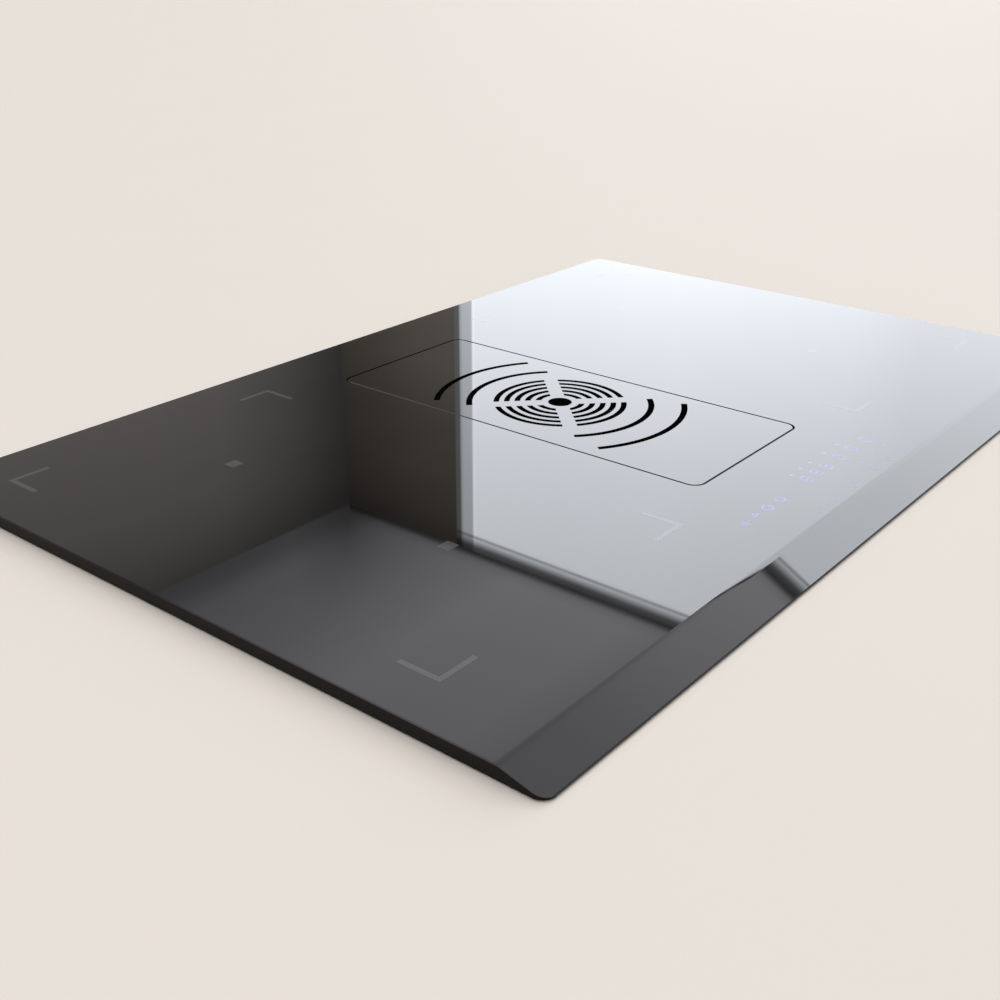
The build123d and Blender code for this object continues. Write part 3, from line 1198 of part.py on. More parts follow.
def fan_rotor(side):
    """Small radial wheel that hangs on the pin in its housing's roof."""
    low = TRAY_FLOOR + FAN_WALL + FAN_RUN_GAP
    height = FAN_HEIGHT - 2 * FAN_WALL - 2 * FAN_RUN_GAP
    wheel = disc(FAN_R, FAN_DISC, z=low + height - FAN_DISC)
    wheel += disc(FAN_HUB_R, height, z=low)
    outline = blade(FAN_BLADE_INNER_R, FAN_R - FAN_BLADE_INNER_R, FAN_R - FAN_BLADE_THICK, FAN_BLADE_THICK)
    one = extrude(Pos(0, 0, low) * outline, amount=height - FAN_DISC / 2)
    blades = [Rot(0, 0, index * 360 / FAN_BLADE_COUNT) * one for index in range(FAN_BLADE_COUNT)]
    wheel = wheel + blades
    wheel -= disc(FAN_PIN_R + PIVOT_CLEAR, height, z=low)
    return Pos(side * BOARD_X, FAN_Y) * wheel


# ---------------------------------------------------------------- touch control
def control_carrier():
    """Shallow moulded tray that holds the touch control against the glass."""
    carrier = block(
        CONTROL_WIDTH, CONTROL_DEPTH, CONTROL_HEIGHT, 0, CONTROL_Y, CONTROL_BOTTOM, CONTROL_CORNER_R
    )
    inner_width = CONTROL_WIDTH - 2 * CONTROL_WALL
    inner_depth = CONTROL_DEPTH - 2 * CONTROL_WALL
    return carrier - block(
        inner_width, inner_depth, CONTROL_HEIGHT, 0, CONTROL_Y, CONTROL_BOTTOM + CONTROL_WALL
    )


def control_board():
    width = CONTROL_WIDTH - 2 * (CONTROL_WALL + CONTROL_CLEAR)
    depth = CONTROL_DEPTH - 2 * (CONTROL_WALL + CONTROL_CLEAR)
    return block(width, depth, BOARD_THICK, 0, CONTROL_Y, CONTROL_BOTTOM + CONTROL_WALL)


def display_blocks():
    """Light guides of the digits and marks, from the board up to the glass."""
    low = CONTROL_BOTTOM + CONTROL_WALL + BOARD_THICK
    return group(
        block(width, depth, UNDERSIDE - low, x, CONTROL_Y + y, low) for x, y, width, depth in DISPLAY_BLOCKS
    )


# ---------------------------------------------------------------- mains connection
def terminal_block():
    body = block(TERMINAL_WIDTH, TERMINAL_DEPTH, TERMINAL_HEIGHT, TERMINAL_X, TERMINAL_Y, TRAY_FLOOR)
    pitch = TERMINAL_WIDTH / TERMINAL_WAYS
    for offset in steps(TERMINAL_WAYS, pitch):
        x = TERMINAL_X + offset
        body -= disc(TERMINAL_BORE_R, TERMINAL_HEIGHT, x, TERMINAL_Y, TRAY_FLOOR + TERMINAL_HEIGHT / 2)
    return body


def terminal_cover():
    """Hood over the terminals, open towards the gland."""
    width = TERMINAL_WIDTH + 2 * (COVER_WALL + COVER_CLEAR)
    depth = TERMINAL_DEPTH + 2 * (COVER_WALL + COVER_CLEAR)
    height = TERMINAL_HEIGHT + COVER_WALL + COVER_CLEAR
    hood = block(width, depth, height, TERMINAL_X, TERMINAL_Y, TRAY_FLOOR)
    inner_width = width - 2 * COVER_WALL
    inner_depth = depth - 2 * COVER_WALL
    hood -= block(
        inner_width + COVER_WALL, inner_depth, height - COVER_WALL,
        TERMINAL_X - COVER_WALL / 2, TERMINAL_Y, TRAY_FLOOR,
    )
    return hood


def cable_gland():
    """Strain relief through the tray's floor: hexagon below, round nut above."""
    low = TRAY_BOTTOM - GLAND_DEPTH
    hexagon = Pos(GLAND_X, TERMINAL_Y, low) * RegularPolygon(GLAND_HEX_R, 6)
    gland = extrude(hexagon, amount=GLAND_DEPTH)
    gland += disc(GLAND_R, SHEET, GLAND_X, TERMINAL_Y, TRAY_BOTTOM)
    gland += disc(GLAND_HEX_R, GLAND_NUT, GLAND_X, TERMINAL_Y, TRAY_FLOOR)
    return gland - disc(GLAND_BORE_R, GLAND_DEPTH + SHEET + GLAND_NUT, GLAND_X, TERMINAL_Y, low)


# ---------------------------------------------------------------- all nodes
def all_nodes():
    nodes = {
        "glass_top": glass_top(),
        "glass_seal": glass_seal(),
        "panel_frame": panel_frame(),
        "panel_pads": panel_pads(),
        "vent_panel": vent_panel(),
        "suction_shaft": suction_shaft(),
        "shaft_seal": shaft_seal(),
        "filter_basin": filter_basin(),
        "filter_mesh": filter_mesh(),
        "filter_handle": filter_handle(),
        "casing_tray": casing_tray(),
        "casing_floor": casing_floor(),
        "housing_screws": housing_screws(),
        "air_box": air_box(),
        "drip_skirt": drip_skirt(),
        "drip_seal": drip_seal(),
        "drip_container": drip_container(),
        "scroll_housing": scroll_housing(),
        "inlet_ring": inlet_ring(),
        "impeller": impeller(),
        "impeller_blades": impeller_blades(),
        "impeller_ring": impeller_ring(),
        "motor_rotor": motor_rotor(),
        "rotor_shaft": rotor_shaft(),
        "motor_bearings": motor_bearings(),
        "motor_mount": motor_mount(),
        "motor_bushes": motor_bushes(),
        "motor_stator": motor_stator(),
        "outlet_spigot": outlet_spigot(),
        "flap_pins": flap_pins(),
        "clamp_screws": clamp_screws(),
        "carrier_posts": carrier_posts(),
        "insulating_sheets": insulating_sheets(),
        "coil_carriers": group(coil_carrier(side) for side in SIDES.values()),
        "coil_sensors": coil_sensors(),
        "coil_formers": coil_formers(),
        "ferrite_bars": ferrite_bars(),
        "board_standoffs": board_standoffs(),
        "power_boards": group(power_board(side) for side in SIDES.values()),
        "heatsinks": group(heatsink(side) for side in SIDES.values()),
        "power_transistors": power_transistors(),
        "capacitors": capacitors(),
        "filter_chokes": filter_chokes(),
        "fan_housings": group(fan_housing(side) for side in SIDES.values()),
        "control_carrier": control_carrier(),
        "control_board": control_board(),
        "display_blocks": display_blocks(),
        "terminal_block": terminal_block(),
        "terminal_cover": terminal_cover(),
        "cable_gland": cable_gland(),
    }
    for name, side in SIDES.items():
        nodes[f"flap_{name}"] = flap(side)
        nodes[f"coil_windings_{name}"] = group(coil_winding(side, y) for y in COIL_YS)
        nodes[f"fan_rotor_{name}"] = fan_rotor(side)
        for end_name, end in ENDS.items():
            nodes[f"clamp_{name}_{end_name}"] = clamp(side, end)
    return nodes


os.makedirs("parts", exist_ok=True)
for node_name, shape in all_nodes().items():
    export_step(shape, f"parts/{node_name}.step")
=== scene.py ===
import json
import math

import bmesh
import bpy
from mathutils import Matrix, Vector


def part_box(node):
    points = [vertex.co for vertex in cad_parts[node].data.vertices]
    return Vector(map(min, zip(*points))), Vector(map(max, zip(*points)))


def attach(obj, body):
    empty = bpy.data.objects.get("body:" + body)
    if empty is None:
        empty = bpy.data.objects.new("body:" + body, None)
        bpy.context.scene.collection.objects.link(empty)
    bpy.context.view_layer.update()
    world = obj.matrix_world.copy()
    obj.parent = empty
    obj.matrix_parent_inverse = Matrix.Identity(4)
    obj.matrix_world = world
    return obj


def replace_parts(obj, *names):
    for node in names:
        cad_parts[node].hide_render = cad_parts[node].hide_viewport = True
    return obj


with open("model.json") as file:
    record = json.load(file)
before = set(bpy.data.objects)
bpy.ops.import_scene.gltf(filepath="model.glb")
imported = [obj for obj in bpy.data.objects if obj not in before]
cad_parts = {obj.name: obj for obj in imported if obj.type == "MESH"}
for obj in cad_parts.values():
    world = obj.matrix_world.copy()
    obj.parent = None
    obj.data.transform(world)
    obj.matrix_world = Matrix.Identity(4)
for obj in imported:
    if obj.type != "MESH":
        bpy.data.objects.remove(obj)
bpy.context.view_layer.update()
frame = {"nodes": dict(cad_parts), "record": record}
nodes = frame["nodes"]

# ---------------------------------------------------------------- sizes, in metres

MM = 0.001
X_AXIS, Y_AXIS, Z_AXIS = Vector((1, 0, 0)), Vector((0, 1, 0)), Vector((0, 0, 1))

CAMERA_PLACE = Vector((-0.7488, -0.5245, 0.3563))
CAMERA_RIGHT = Vector((0.63034, -0.77632, 0.00208))
CAMERA_UP = Vector((0.32682, 0.26779, 0.90635))
CAMERA_LENS = 45.42          # this and the sensor's width are in millimetres
SENSOR = 36

CUTOUT_X = 0.750             # opening of the floor for what hangs below it
CUTOUT_Y = 0.490
FLOOR_REACH = 60.0
FLOOR_SHADE = 0.993          # the floor's darkest spots, as a share of its colour
FLOOR_GLOSS = 0.15

GLASS_LOW, GLASS_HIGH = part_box("glass_top")
TOP = GLASS_HIGH.z
PRINT_LIFT = 0.03 * MM       # flat marks lie this far over the glass
EDGE_CORNER_R = 8 * MM
EDGE_CORNER_STEPS = 25       # points of a corner
EDGE_BEVEL = 0.6 * MM
EDGE_ROOM = 0.1 * MM         # the ground strip ends this far below the bevel
EDGE_PROUD = 0.04 * MM
FACET_WIDTH = 28 * MM
FACET_FOOT = 2 * MM          # level of the facet's lower end

ZONE_X = 0.24115             # middle of a cooking zone from the glass's middle
ZONE_Y = 0.02565
ZONE_HALF_X = 0.11485
ZONE_HALF_Y = 0.19365
ZONE_ARM = 0.030             # length of a corner angle's arms
ZONE_LINE = 3.7 * MM
SPOT_OFFSET = 0.0985         # the two spots of a zone, from its middle
SPOT_X = 10 * MM
SPOT_Y = 9.5 * MM

DOT_ROW = -184 * MM          # rows of lit signs
DIGIT_ROW = -195.5 * MM
SIGN_ROW = -196.5 * MM
DIM_DOT_ROW = -210.8 * MM
DIM_DIGIT_ROW = -222.5 * MM
SLIDER_ROW = -223.5 * MM
DIGIT_SIZE = (6.6 * MM, 9.6 * MM)
DIM_DIGIT_SIZE = (6 * MM, 8.5 * MM)
STROKE_SIZE = (0.9 * MM, 5 * MM)
STROKES = 8
DOT_R = 1.4 * MM
SEGMENT = 0.9 * MM           # line of a digit
SEGMENT_GAP = 0.35 * MM
DIGIT_LEAN = 0.35 * MM

WEAVE_MARGIN = 4 * MM        # free edge of the filter's mesh
WEAVE_PITCH = 4.3 * MM
WEAVE_WIRE = 0.5 * MM
WEAVE_RISE = 0.35 * MM
RIM_BEND = 4 * MM
RIM_BEND_STEPS = 6
RIM_ACROSS = 3.2 * MM        # half sizes of the folded rim
RIM_THICK = 1.4 * MM
RIM_LIFT = 0.6 * MM

COIL_R = 88 * MM
COIL_RINGS = ((20 * MM, 42 * MM, 6), (50 * MM, COIL_R, 11))     # inner and outer radius, turns
COIL_STEPS = 60              # points of a turn
LITZ_SHARE = 0.48            # half width of the wire, as a share of the room for one turn

STATOR_TEETH = 9
STATOR_WIRE = 0.75 * MM
TOOTH_WIDTH = 7 * MM
TOOTH_TURNS = 8
TOOTH_START = 23 * MM
TOOTH_BEND = 1.5 * MM
TOOTH_BEND_STEPS = 4

TRAY_X = 0.358               # outer faces of the casing's walls
TRAY_Y = 0.235
TRAY_BOTTOM = -0.058
BEAD_LEVELS = (-44 * MM, -18 * MM)
BEADS_FRONT = ((-335, -195), (-170, -12), (12, 170), (195, 335))     # start and end, in millimetres
BEADS_REAR = ((-150, -12), (12, 150))
BEAD_SIDE = 118 * MM         # half length of a bead on the left and right walls
BEAD_ACROSS = 4 * MM
BEAD_PROUD = 1.1 * MM
RIVETS_X, RIVET_HALF_X = 9, 330 * MM     # count and half length of a row, front and rear
RIVETS_Y, RIVET_HALF_Y = 6, 200 * MM     # left and right
RIVET_LEVEL = TRAY_BOTTOM + 6 * MM
RIVET_R = 2.4 * MM
RIVET_PROUD = 1.0 * MM

RIB_ACROSS = 1.6 * MM
RIB_PROUD = 1.5 * MM
BOX_SIDE = 146.5 * MM        # half width of the air box
BOX_RIBS = 12
BOX_CORNER_ROOM = 26 * MM
BOX_RIB_ROOM = (8 * MM, 3 * MM)          # free wall above and below a rib
SCROLL_R = 98.5 * MM         # outside of the scroll's first arc
SCROLL_GROWTH = 8 * MM       # the arc before it is this much larger
SCROLL_RIBS = 10
SCROLL_TURNS = (-82, 44)     # first and last rib, in degrees
SCROLL_RIB_ROOM = (6 * MM, 5 * MM)
GRIP_RIBS = 7
GRIP_RISE = 14.4 * MM        # outer ribs from the middle one
GRIP_HALF = 34 * MM
GRIP_ACROSS = 1.4 * MM
GRIP_PROUD = 1.2 * MM

# the room that the glass mirrors, as slopes of the direction: across (y / x), up (z / x), up_rear (z / y)
SLOPE_LIMIT = 0.02           # x and y count as no smaller than this, so that no slope is endless
WINDOW_START = -0.15
WINDOW_SLOPE = 0.8755
CORNER_SLOPE = 1.055
CEILING_SLOPE = 0.678

# brightness of that room, where 1 is white, as pairs of (slope or height, level)
LEVEL_SCALE = 6.0            # the ramps hold levels up to this one
WINDOW_ACROSS = [(-0.15, 3.6), (0.05, 4.2), (0.15, 4.25), (0.3, 3.8), (0.36, 3.75), (0.42, 4.05), (0.6, 4.2),
                 (0.75, 4.0), (0.85, 3.9)]
WINDOW_EDGE = [(0.8455, 1.0), (0.8485, 1.08), (0.8515, 0.52), (0.8635, 0.5), (0.867, 0.38), (0.869, 0.11),
               (0.8755, 0.1), (0.88, 0.06)]
WINDOW_UP = [(0.2, 0.8), (0.35, 0.92), (0.43, 0.98), (0.53, 1.04), (0.59, 1.1), (0.65, 1.16)]
SILL = [(0.65, 1.0), (0.656, 0.98), (0.6588, 0.38), (0.662, 0.72), (0.6635, 0.62), (0.667, 0.36),
        (0.67, 0.17), (0.672, 0.1), (0.678, 0.06)]
DARK_WALL = [(0.884, 0.27), (0.93, 0.24), (1.0, 0.17), (1.055, 0.13)]
DARK_WALL_UP = [(0.46, 1.08), (0.53, 0.85), (0.59, 0.8), (0.65, 0.58), (0.67, 0.42)]
REAR_WALL = [(1.055, 0.11), (1.1, 0.17), (1.16, 0.26), (1.25, 0.35), (1.3, 0.4), (1.45, 0.43), (2.0, 0.45)]
REAR_WALL_UP = [(0.55, 1.0), (0.6, 0.85), (0.643, 0.6)]
CEILING_BACK = [(0.64, 0.3), (0.66, 0.36), (0.685, 0.6), (0.73, 0.74), (0.78, 0.9), (0.82, 1.06), (0.88, 1.3),
                (1.09, 1.42), (1.23, 1.2), (1.3, 1.1), (2.0, 1.0)]
CEILING_FRONT = [(0.62, 1.76), (0.745, 1.74), (0.8, 1.67), (0.845, 1.64), (0.9, 1.55), (0.97, 1.4),
                 (1.06, 1.3), (1.5, 1.2)]
FRONT_SHARE = [(0.2, 1.0), (0.5, 0.0)]          # share of CEILING_FRONT in the ceiling, by across
CEILING_EDGE = [(0.678, 0.13), (0.681, 0.2), (0.684, 0.42), (0.687, 0.75), (0.691, 0.88), (0.7, 1.0)]
CEILING_RISE = [(0.26, 0.0585), (0.48, 0.0)]    # the ceiling's line stands this much higher, by across
CORNER_SHADE = [(0.88, 0.0), (0.97, 0.35), (1.06, 0.6), (1.17, 0.0)]
CORNER_FADE = [(0.64, 1.0), (0.68, 0.8), (0.72, 0.35), (0.78, 0.0)]
STUDIO_UP = [(0.0, 0.5), (0.3, 0.55), (0.6, 0.95), (1.0, 1.0)]
BELOW_LEVEL = 1.05
BELOW_TURN = (0.3, -0.3, 0.35)      # how that level changes with the direction

WINDOW_COLOUR = (0.96, 1.0, 1.06)
WALL_COLOUR = (1.12, 1.0, 0.86)
REAR_COLOUR = (1.06, 1.0, 0.95)
CEILING_COLOUR = (1.01, 0.99, 1.05)
STUDIO_COLOUR = (0.99, 0.99, 1.0)
FLOOR_COLOUR = (0.775, 0.718, 0.64)
BACKDROP_COLOUR = (0.8045, 0.7484, 0.696)       # the colour that the floor renders in
LIT_COLOUR = (0.13, 0.08, 0.52)


# ---------------------------------------------------------------- shader helpers

def grey(level):
    return (level, level, level)


def scaled(colour, share):
    return tuple(share * part for part in colour)


def node(tree, kind, **settings):
    made = tree.nodes.new(kind)
    for name, value in settings.items():
        setattr(made, name, value)
    return made


def feed(tree, socket, value):
    """Sets a socket to a number or colour, or links an output to it."""
    if isinstance(value, bpy.types.NodeSocket):
        tree.links.new(value, socket)
    else:
        socket.default_value = value


def math_node(tree, operation, *values):
    made = node(tree, "ShaderNodeMath", operation=operation)
    for socket, value in zip(made.inputs, values):
        feed(tree, socket, value)
    return made.outputs[0]


def ramp(tree, factor, stops):
    made = node(tree, "ShaderNodeValToRGB")
    elements = made.color_ramp.elements
    while len(elements) < len(stops):
        elements.new(0.5)
    for element, (place, colour) in zip(elements, stops):
        element.position = place
        element.color = (*colour, 1.0)
    tree.links.new(factor, made.inputs[0])
    return made.outputs[0]


def places(tree, stretch=(1, 1, 1)):
    mapping = node(tree, "ShaderNodeMapping")
    mapping.inputs["Scale"].default_value = stretch
    tree.links.new(node(tree, "ShaderNodeTexCoord").outputs["Object"], mapping.inputs[0])
    return mapping.outputs[0]


def noise(tree, scale, detail=3.0, stretch=(1, 1, 1)):
    texture = node(tree, "ShaderNodeTexNoise")
    texture.inputs["Scale"].default_value = scale
    texture.inputs["Detail"].default_value = detail
    tree.links.new(places(tree, stretch), texture.inputs["Vector"])
    return texture.outputs["Fac"]


# Patterns: each gives a function that makes a height between 0 and 1 in a material's tree.

def grain(scale, stretch=(1, 1, 1), detail=3.0):
    return lambda tree: noise(tree, scale, detail, stretch)


def spangle(scale, fine):
    """Zinc crystals: patches of one shade each, with a fine grain over them."""
    def pattern(tree):
        cells = node(tree, "ShaderNodeTexVoronoi")
        cells.inputs["Scale"].default_value = scale
        tree.links.new(places(tree), cells.inputs["Vector"])
        patch = node(tree, "ShaderNodeSeparateColor")
        tree.links.new(cells.outputs["Color"], patch.inputs[0])
        shade = math_node(tree, "MULTIPLY", patch.outputs[0], 0.5)
        return math_node(tree, "ADD", shade, math_node(tree, "MULTIPLY", noise(tree, fine), 0.5))
    return pattern


def tracks(scale, lines):
    """Squares inside squares, like the copper tracks of a board."""
    def pattern(tree):
        cells = node(tree, "ShaderNodeTexVoronoi", distance="CHEBYCHEV")
        cells.inputs["Scale"].default_value = scale
        tree.links.new(places(tree), cells.inputs["Vector"])
        return math_node(tree, "PINGPONG", math_node(tree, "MULTIPLY", cells.outputs["Distance"], lines), 1.0)
    return pattern


MATERIALS = {}


def finish(name, pattern, dark, light, rough, metallic=0.0, relief=0.0, span=(0.35, 0.65), **sockets):
    """Adds a material whose colour and roughness follow a pattern, with an optional fine relief."""
    material = bpy.data.materials.new(name)
    material.use_nodes = True
    tree = material.node_tree
    shader = tree.nodes["Principled BSDF"]
    height = pattern(tree)
    tree.links.new(ramp(tree, height, [(span[0], dark), (span[1], light)]), shader.inputs["Base Color"])
    tree.links.new(ramp(tree, height, [(span[0], grey(rough[0])), (span[1], grey(rough[1]))]),
                   shader.inputs["Roughness"])
    shader.inputs["Metallic"].default_value = metallic
    for socket, value in sockets.items():
        shader.inputs[socket.replace("_", " ")].default_value = value
    if relief:
        made = node(tree, "ShaderNodeBump")
        made.inputs["Strength"].default_value = 0.4
        made.inputs["Distance"].default_value = relief
        tree.links.new(height, made.inputs["Height"])
        tree.links.new(made.outputs[0], shader.inputs["Normal"])
    MATERIALS[name] = material
    return material


def glow(name, colour, strength):
    """Adds the material of a lit sign behind the glass, with a slightly uneven light."""
    tree = finish(name, grain(400), grey(0.005), grey(0.006), (0.02, 0.04), IOR=1.52).node_tree
    shader = tree.nodes["Principled BSDF"]
    uneven = ramp(tree, noise(tree, 700.0), [(0.3, scaled(colour, 0.85)), (0.7, colour)])
    tree.links.new(uneven, shader.inputs["Emission Color"])
    shader.inputs["Emission Strength"].default_value = strength


finish("glass_black", grain(9, (1, 2.5, 1), 4.0), (0.0045, 0.0038, 0.0036), (0.0062, 0.0054, 0.0052),
       (0.008, 0.02), IOR=1.52)
finish("glass_ground", grain(600), (0.006, 0.005, 0.0045), (0.012, 0.01, 0.009), (0.45, 0.6), IOR=1.2)
finish("seal_rubber", grain(300), grey(0.012), grey(0.02), (0.6, 0.8), relief=0.1 * MM)
finish("black_plastic", grain(700), grey(0.013), grey(0.021), (0.36, 0.5), relief=0.06 * MM)
finish("grey_plastic", grain(500), (0.15, 0.16, 0.17), (0.18, 0.19, 0.2), (0.38, 0.5), relief=0.06 * MM)
finish("galvanised", spangle(180, 600), (0.5, 0.52, 0.54), (0.66, 0.68, 0.69), (0.28, 0.44), 1.0,
       span=(0.2, 0.8))
finish("stainless", grain(260, (1, 1, 16)), (0.54, 0.535, 0.52), (0.62, 0.61, 0.59), (0.22, 0.32), 1.0)
finish("aluminium", grain(120, (10, 1, 1)), (0.66, 0.67, 0.68), (0.78, 0.79, 0.8), (0.28, 0.4), 1.0)
finish("steel", grain(200), grey(0.45), grey(0.57), (0.25, 0.4), 1.0)
finish("lamination", grain(1500, (0.1, 0.1, 1)), (0.2, 0.2, 0.21), (0.32, 0.32, 0.33), (0.35, 0.5), 1.0)
finish("ferrite", grain(500), (0.03, 0.03, 0.034), (0.05, 0.05, 0.055), (0.5, 0.7), relief=0.05 * MM)
finish("copper_litz", grain(900), (0.36, 0.14, 0.055), (0.62, 0.27, 0.11), (0.28, 0.45), 0.9,
       relief=0.1 * MM)
finish("mica", grain(70), (0.42, 0.34, 0.22), (0.6, 0.52, 0.38), (0.3, 0.5))
finish("circuit_board", tracks(70, 12), (0.005, 0.05, 0.024), (0.012, 0.1, 0.045), (0.28, 0.42))
finish("component", grain(300), (0.012, 0.02, 0.05), (0.02, 0.032, 0.08), (0.3, 0.4))
finish("transistor", grain(900), grey(0.012), grey(0.02), (0.4, 0.55), relief=0.05 * MM)
finish("light_guide", grain(300), (0.6, 0.6, 0.62), (0.75, 0.75, 0.77), (0.25, 0.4))
finish("zone_print", grain(2500), grey(0.044), grey(0.056), (0.03, 0.06), IOR=1.52)
glow("touch_light", LIT_COLOUR, 1.0)
glow("touch_light_dim", LIT_COLOUR, 0.45)

for part in frame["record"]["subparts"]:
    for holder in nodes[part["node"]].material_slots:
        holder.material = MATERIALS[part["material_slot"]]


# ---------------------------------------------------------------- mesh helpers

class Shape:
    """Points and faces gathered into one piece."""

    def __init__(self):
        self.points = []
        self.faces = []

    def polygon(self, outline, level=TOP + PRINT_LIFT):
        first = len(self.points)
        self.points += [Vector((x, y, level)) for x, y in outline]
        self.faces.append(tuple(range(first, first + len(outline))))

    def bar(self, x, y, width, depth, lean=0.0):
        """A flat bar on the glass; lean moves its far end sideways and its near end the other way."""
        across, along = width / 2, depth / 2
        self.polygon([(x - across - lean, y - along), (x + across - lean, y - along),
                      (x + across + lean, y + along), (x - across + lean, y + along)])

    def disc(self, x, y, radius, steps=20):
        turns = [math.tau * i / steps for i in range(steps)]
        self.polygon([(x + radius * math.cos(turn), y + radius * math.sin(turn)) for turn in turns])

    def arc(self, x, y, radius, line, start, end, steps=28):
        """A flat ring piece from angle start to end, in degrees, with the line width given."""
        turns = [math.radians(start + (end - start) * i / steps) for i in range(steps + 1)]
        inner, outer = radius - line / 2, radius + line / 2
        for a, b in zip(turns, turns[1:]):
            self.polygon([(x + inner * math.cos(a), y + inner * math.sin(a)),
                          (x + outer * math.cos(a), y + outer * math.sin(a)),
                          (x + outer * math.cos(b), y + outer * math.sin(b)),
                          (x + inner * math.cos(b), y + inner * math.sin(b))])

    def tube(self, path, axis, across, thick, sides=8, closed=False, ends=()):
        """An oval of half sizes across and thick, swept round a path whose plane has the normal axis.

        ends gives the share of the full size of the first points, and of the last ones turned round.
        """
        first, count = len(self.points), len(path)
        for index, place in enumerate(path):
            ahead = path[(index + 1) % count] if closed or index + 1 < count else place
            behind = path[index - 1] if closed or index else place
            side = (ahead - behind).normalized().cross(axis)
            near = min(index, count - 1 - index)
            size = ends[near] if near < len(ends) else 1.0
            for step in range(sides):
                turn = math.tau * (step + 0.5) / sides
                self.points.append(place + side * (size * across * math.cos(turn))
                                   + axis * (size * thick * math.sin(turn)))
        for index in range(count if closed else count - 1):
            here, there = first + index * sides, first + (index + 1) % count * sides
            for step in range(sides):
                after = (step + 1) % sides
                self.faces.append((here + step, here + after, there + after, there + step))
        if not closed:
            self.faces.append(tuple(first + step for step in range(sides)))
            self.faces.append(tuple(first + (count - 1) * sides + step for step in range(sides)))

    def bead(self, start, end, outward, across, proud):
        """A rounded rib on a wall, from start to end, standing proud of it."""
        run = end - start
        length = run.length
        shares = [0.0, 0.3 * across / length, across / length, 0.5, 1 - across / length,
                  1 - 0.3 * across / length, 1.0]
        self.tube([start + run * share for share in shares], outward, across, proud, 10, ends=(0.25, 0.75))

    def dome(self, centre, axis, radius, proud, steps=16):
        """A low round head on a face."""
        side = axis.orthogonal().normalized()
        other = axis.cross(side)
        first = len(self.points)
        rows = ((1.0, 0.0), (0.97, 0.45), (0.75, 0.85), (0.4, 1.0))
        for wide, high in rows:
            for step in range(steps):
                turn = math.tau * step / steps
                around = side * math.cos(turn) + other * math.sin(turn)
                self.points.append(centre + around * (radius * wide) + axis * (proud * high))
        for row in range(len(rows) - 1):
            for step in range(steps):
                after = (step + 1) % steps
                low, high = first + row * steps, first + (row + 1) * steps
                self.faces.append((low + step, low + after, high + after, high + step))
        self.faces.append(tuple(first + (len(rows) - 1) * steps + step for step in range(steps)))
        self.faces.append(tuple(first + step for step in reversed(range(steps))))

    def strip(self, path, tops, bottom, proud):
        """A thin closed strip along a wall, from the level bottom up to tops, half of it in the wall."""
        first, last = len(self.points), len(path) - 1
        for index, place in enumerate(path):
            ahead, behind = path[min(index + 1, last)], path[max(index - 1, 0)]
            side = (ahead - behind).normalized().cross(Z_AXIS) * proud
            for shift, level in ((side, bottom), (side, tops[index]), (-side, tops[index]), (-side, bottom)):
                self.points.append(Vector((place.x + shift.x, place.y + shift.y, level)))
        for here in range(first, first + 4 * last, 4):
            for step in range(4):
                after = (step + 1) % 4
                self.faces.append((here + step, here + after, here + 4 + after, here + 4 + step))
        self.faces.append(tuple(first + step for step in range(4)))
        self.faces.append(tuple(first + 4 * last + step for step in reversed(range(4))))

    def piece(self, name, material, body="root", smooth=True):
        mesh = bpy.data.meshes.new(name)
        mesh.from_pydata(self.points, [], self.faces)
        if smooth:
            shaped = bmesh.new()
            shaped.from_mesh(mesh)
            bmesh.ops.recalc_face_normals(shaped, faces=shaped.faces)
            shaped.to_mesh(mesh)
            shaped.free()
            mesh.shade_smooth()
        mesh.materials.append(MATERIALS[material])
        made = bpy.data.objects.new(name, mesh)
        bpy.context.scene.collection.objects.link(made)
        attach(made, body)
        return made


def spread(count, first, last):
    """Equal steps from first to last."""
    return [first + (last - first) * i / (count - 1) for i in range(count)]


def rounded(half_wide, half_high, radius, steps):
    """Points round a rectangle with its middle at 0; each of its round corners has steps points."""
    points = []
    for quarter, (side_u, side_v) in enumerate(((1, 1), (-1, 1), (-1, -1), (1, -1))):
        for degrees in spread(steps, 90 * quarter, 90 * quarter + 90):
            turn = math.radians(degrees)
            points.append((side_u * (half_wide - radius) + radius * math.cos(turn),
                           side_v * (half_high - radius) + radius * math.sin(turn)))
    return points


# ---------------------------------------------------------------- marks and ground edge of the glass

zones = Shape()
for side_x in (-1, 1):
    for side_y in (-1, 1):
        for left_right in (-1, 1):
            corner_x = side_x * ZONE_X + left_right * ZONE_HALF_X
            corner_y = ZONE_Y + side_y * ZONE_HALF_Y
            zones.bar(corner_x - left_right * ZONE_ARM / 2, corner_y - side_y * ZONE_LINE / 2, ZONE_ARM,
                      ZONE_LINE)
            zones.bar(corner_x - left_right * ZONE_LINE / 2, corner_y - side_y * (ZONE_ARM + ZONE_LINE) / 2,
                      ZONE_LINE, ZONE_ARM - ZONE_LINE)
        zones.bar(side_x * ZONE_X, ZONE_Y + side_y * SPOT_OFFSET, SPOT_X, SPOT_Y)
zones.piece("zone_marks", "zone_print", smooth=False)

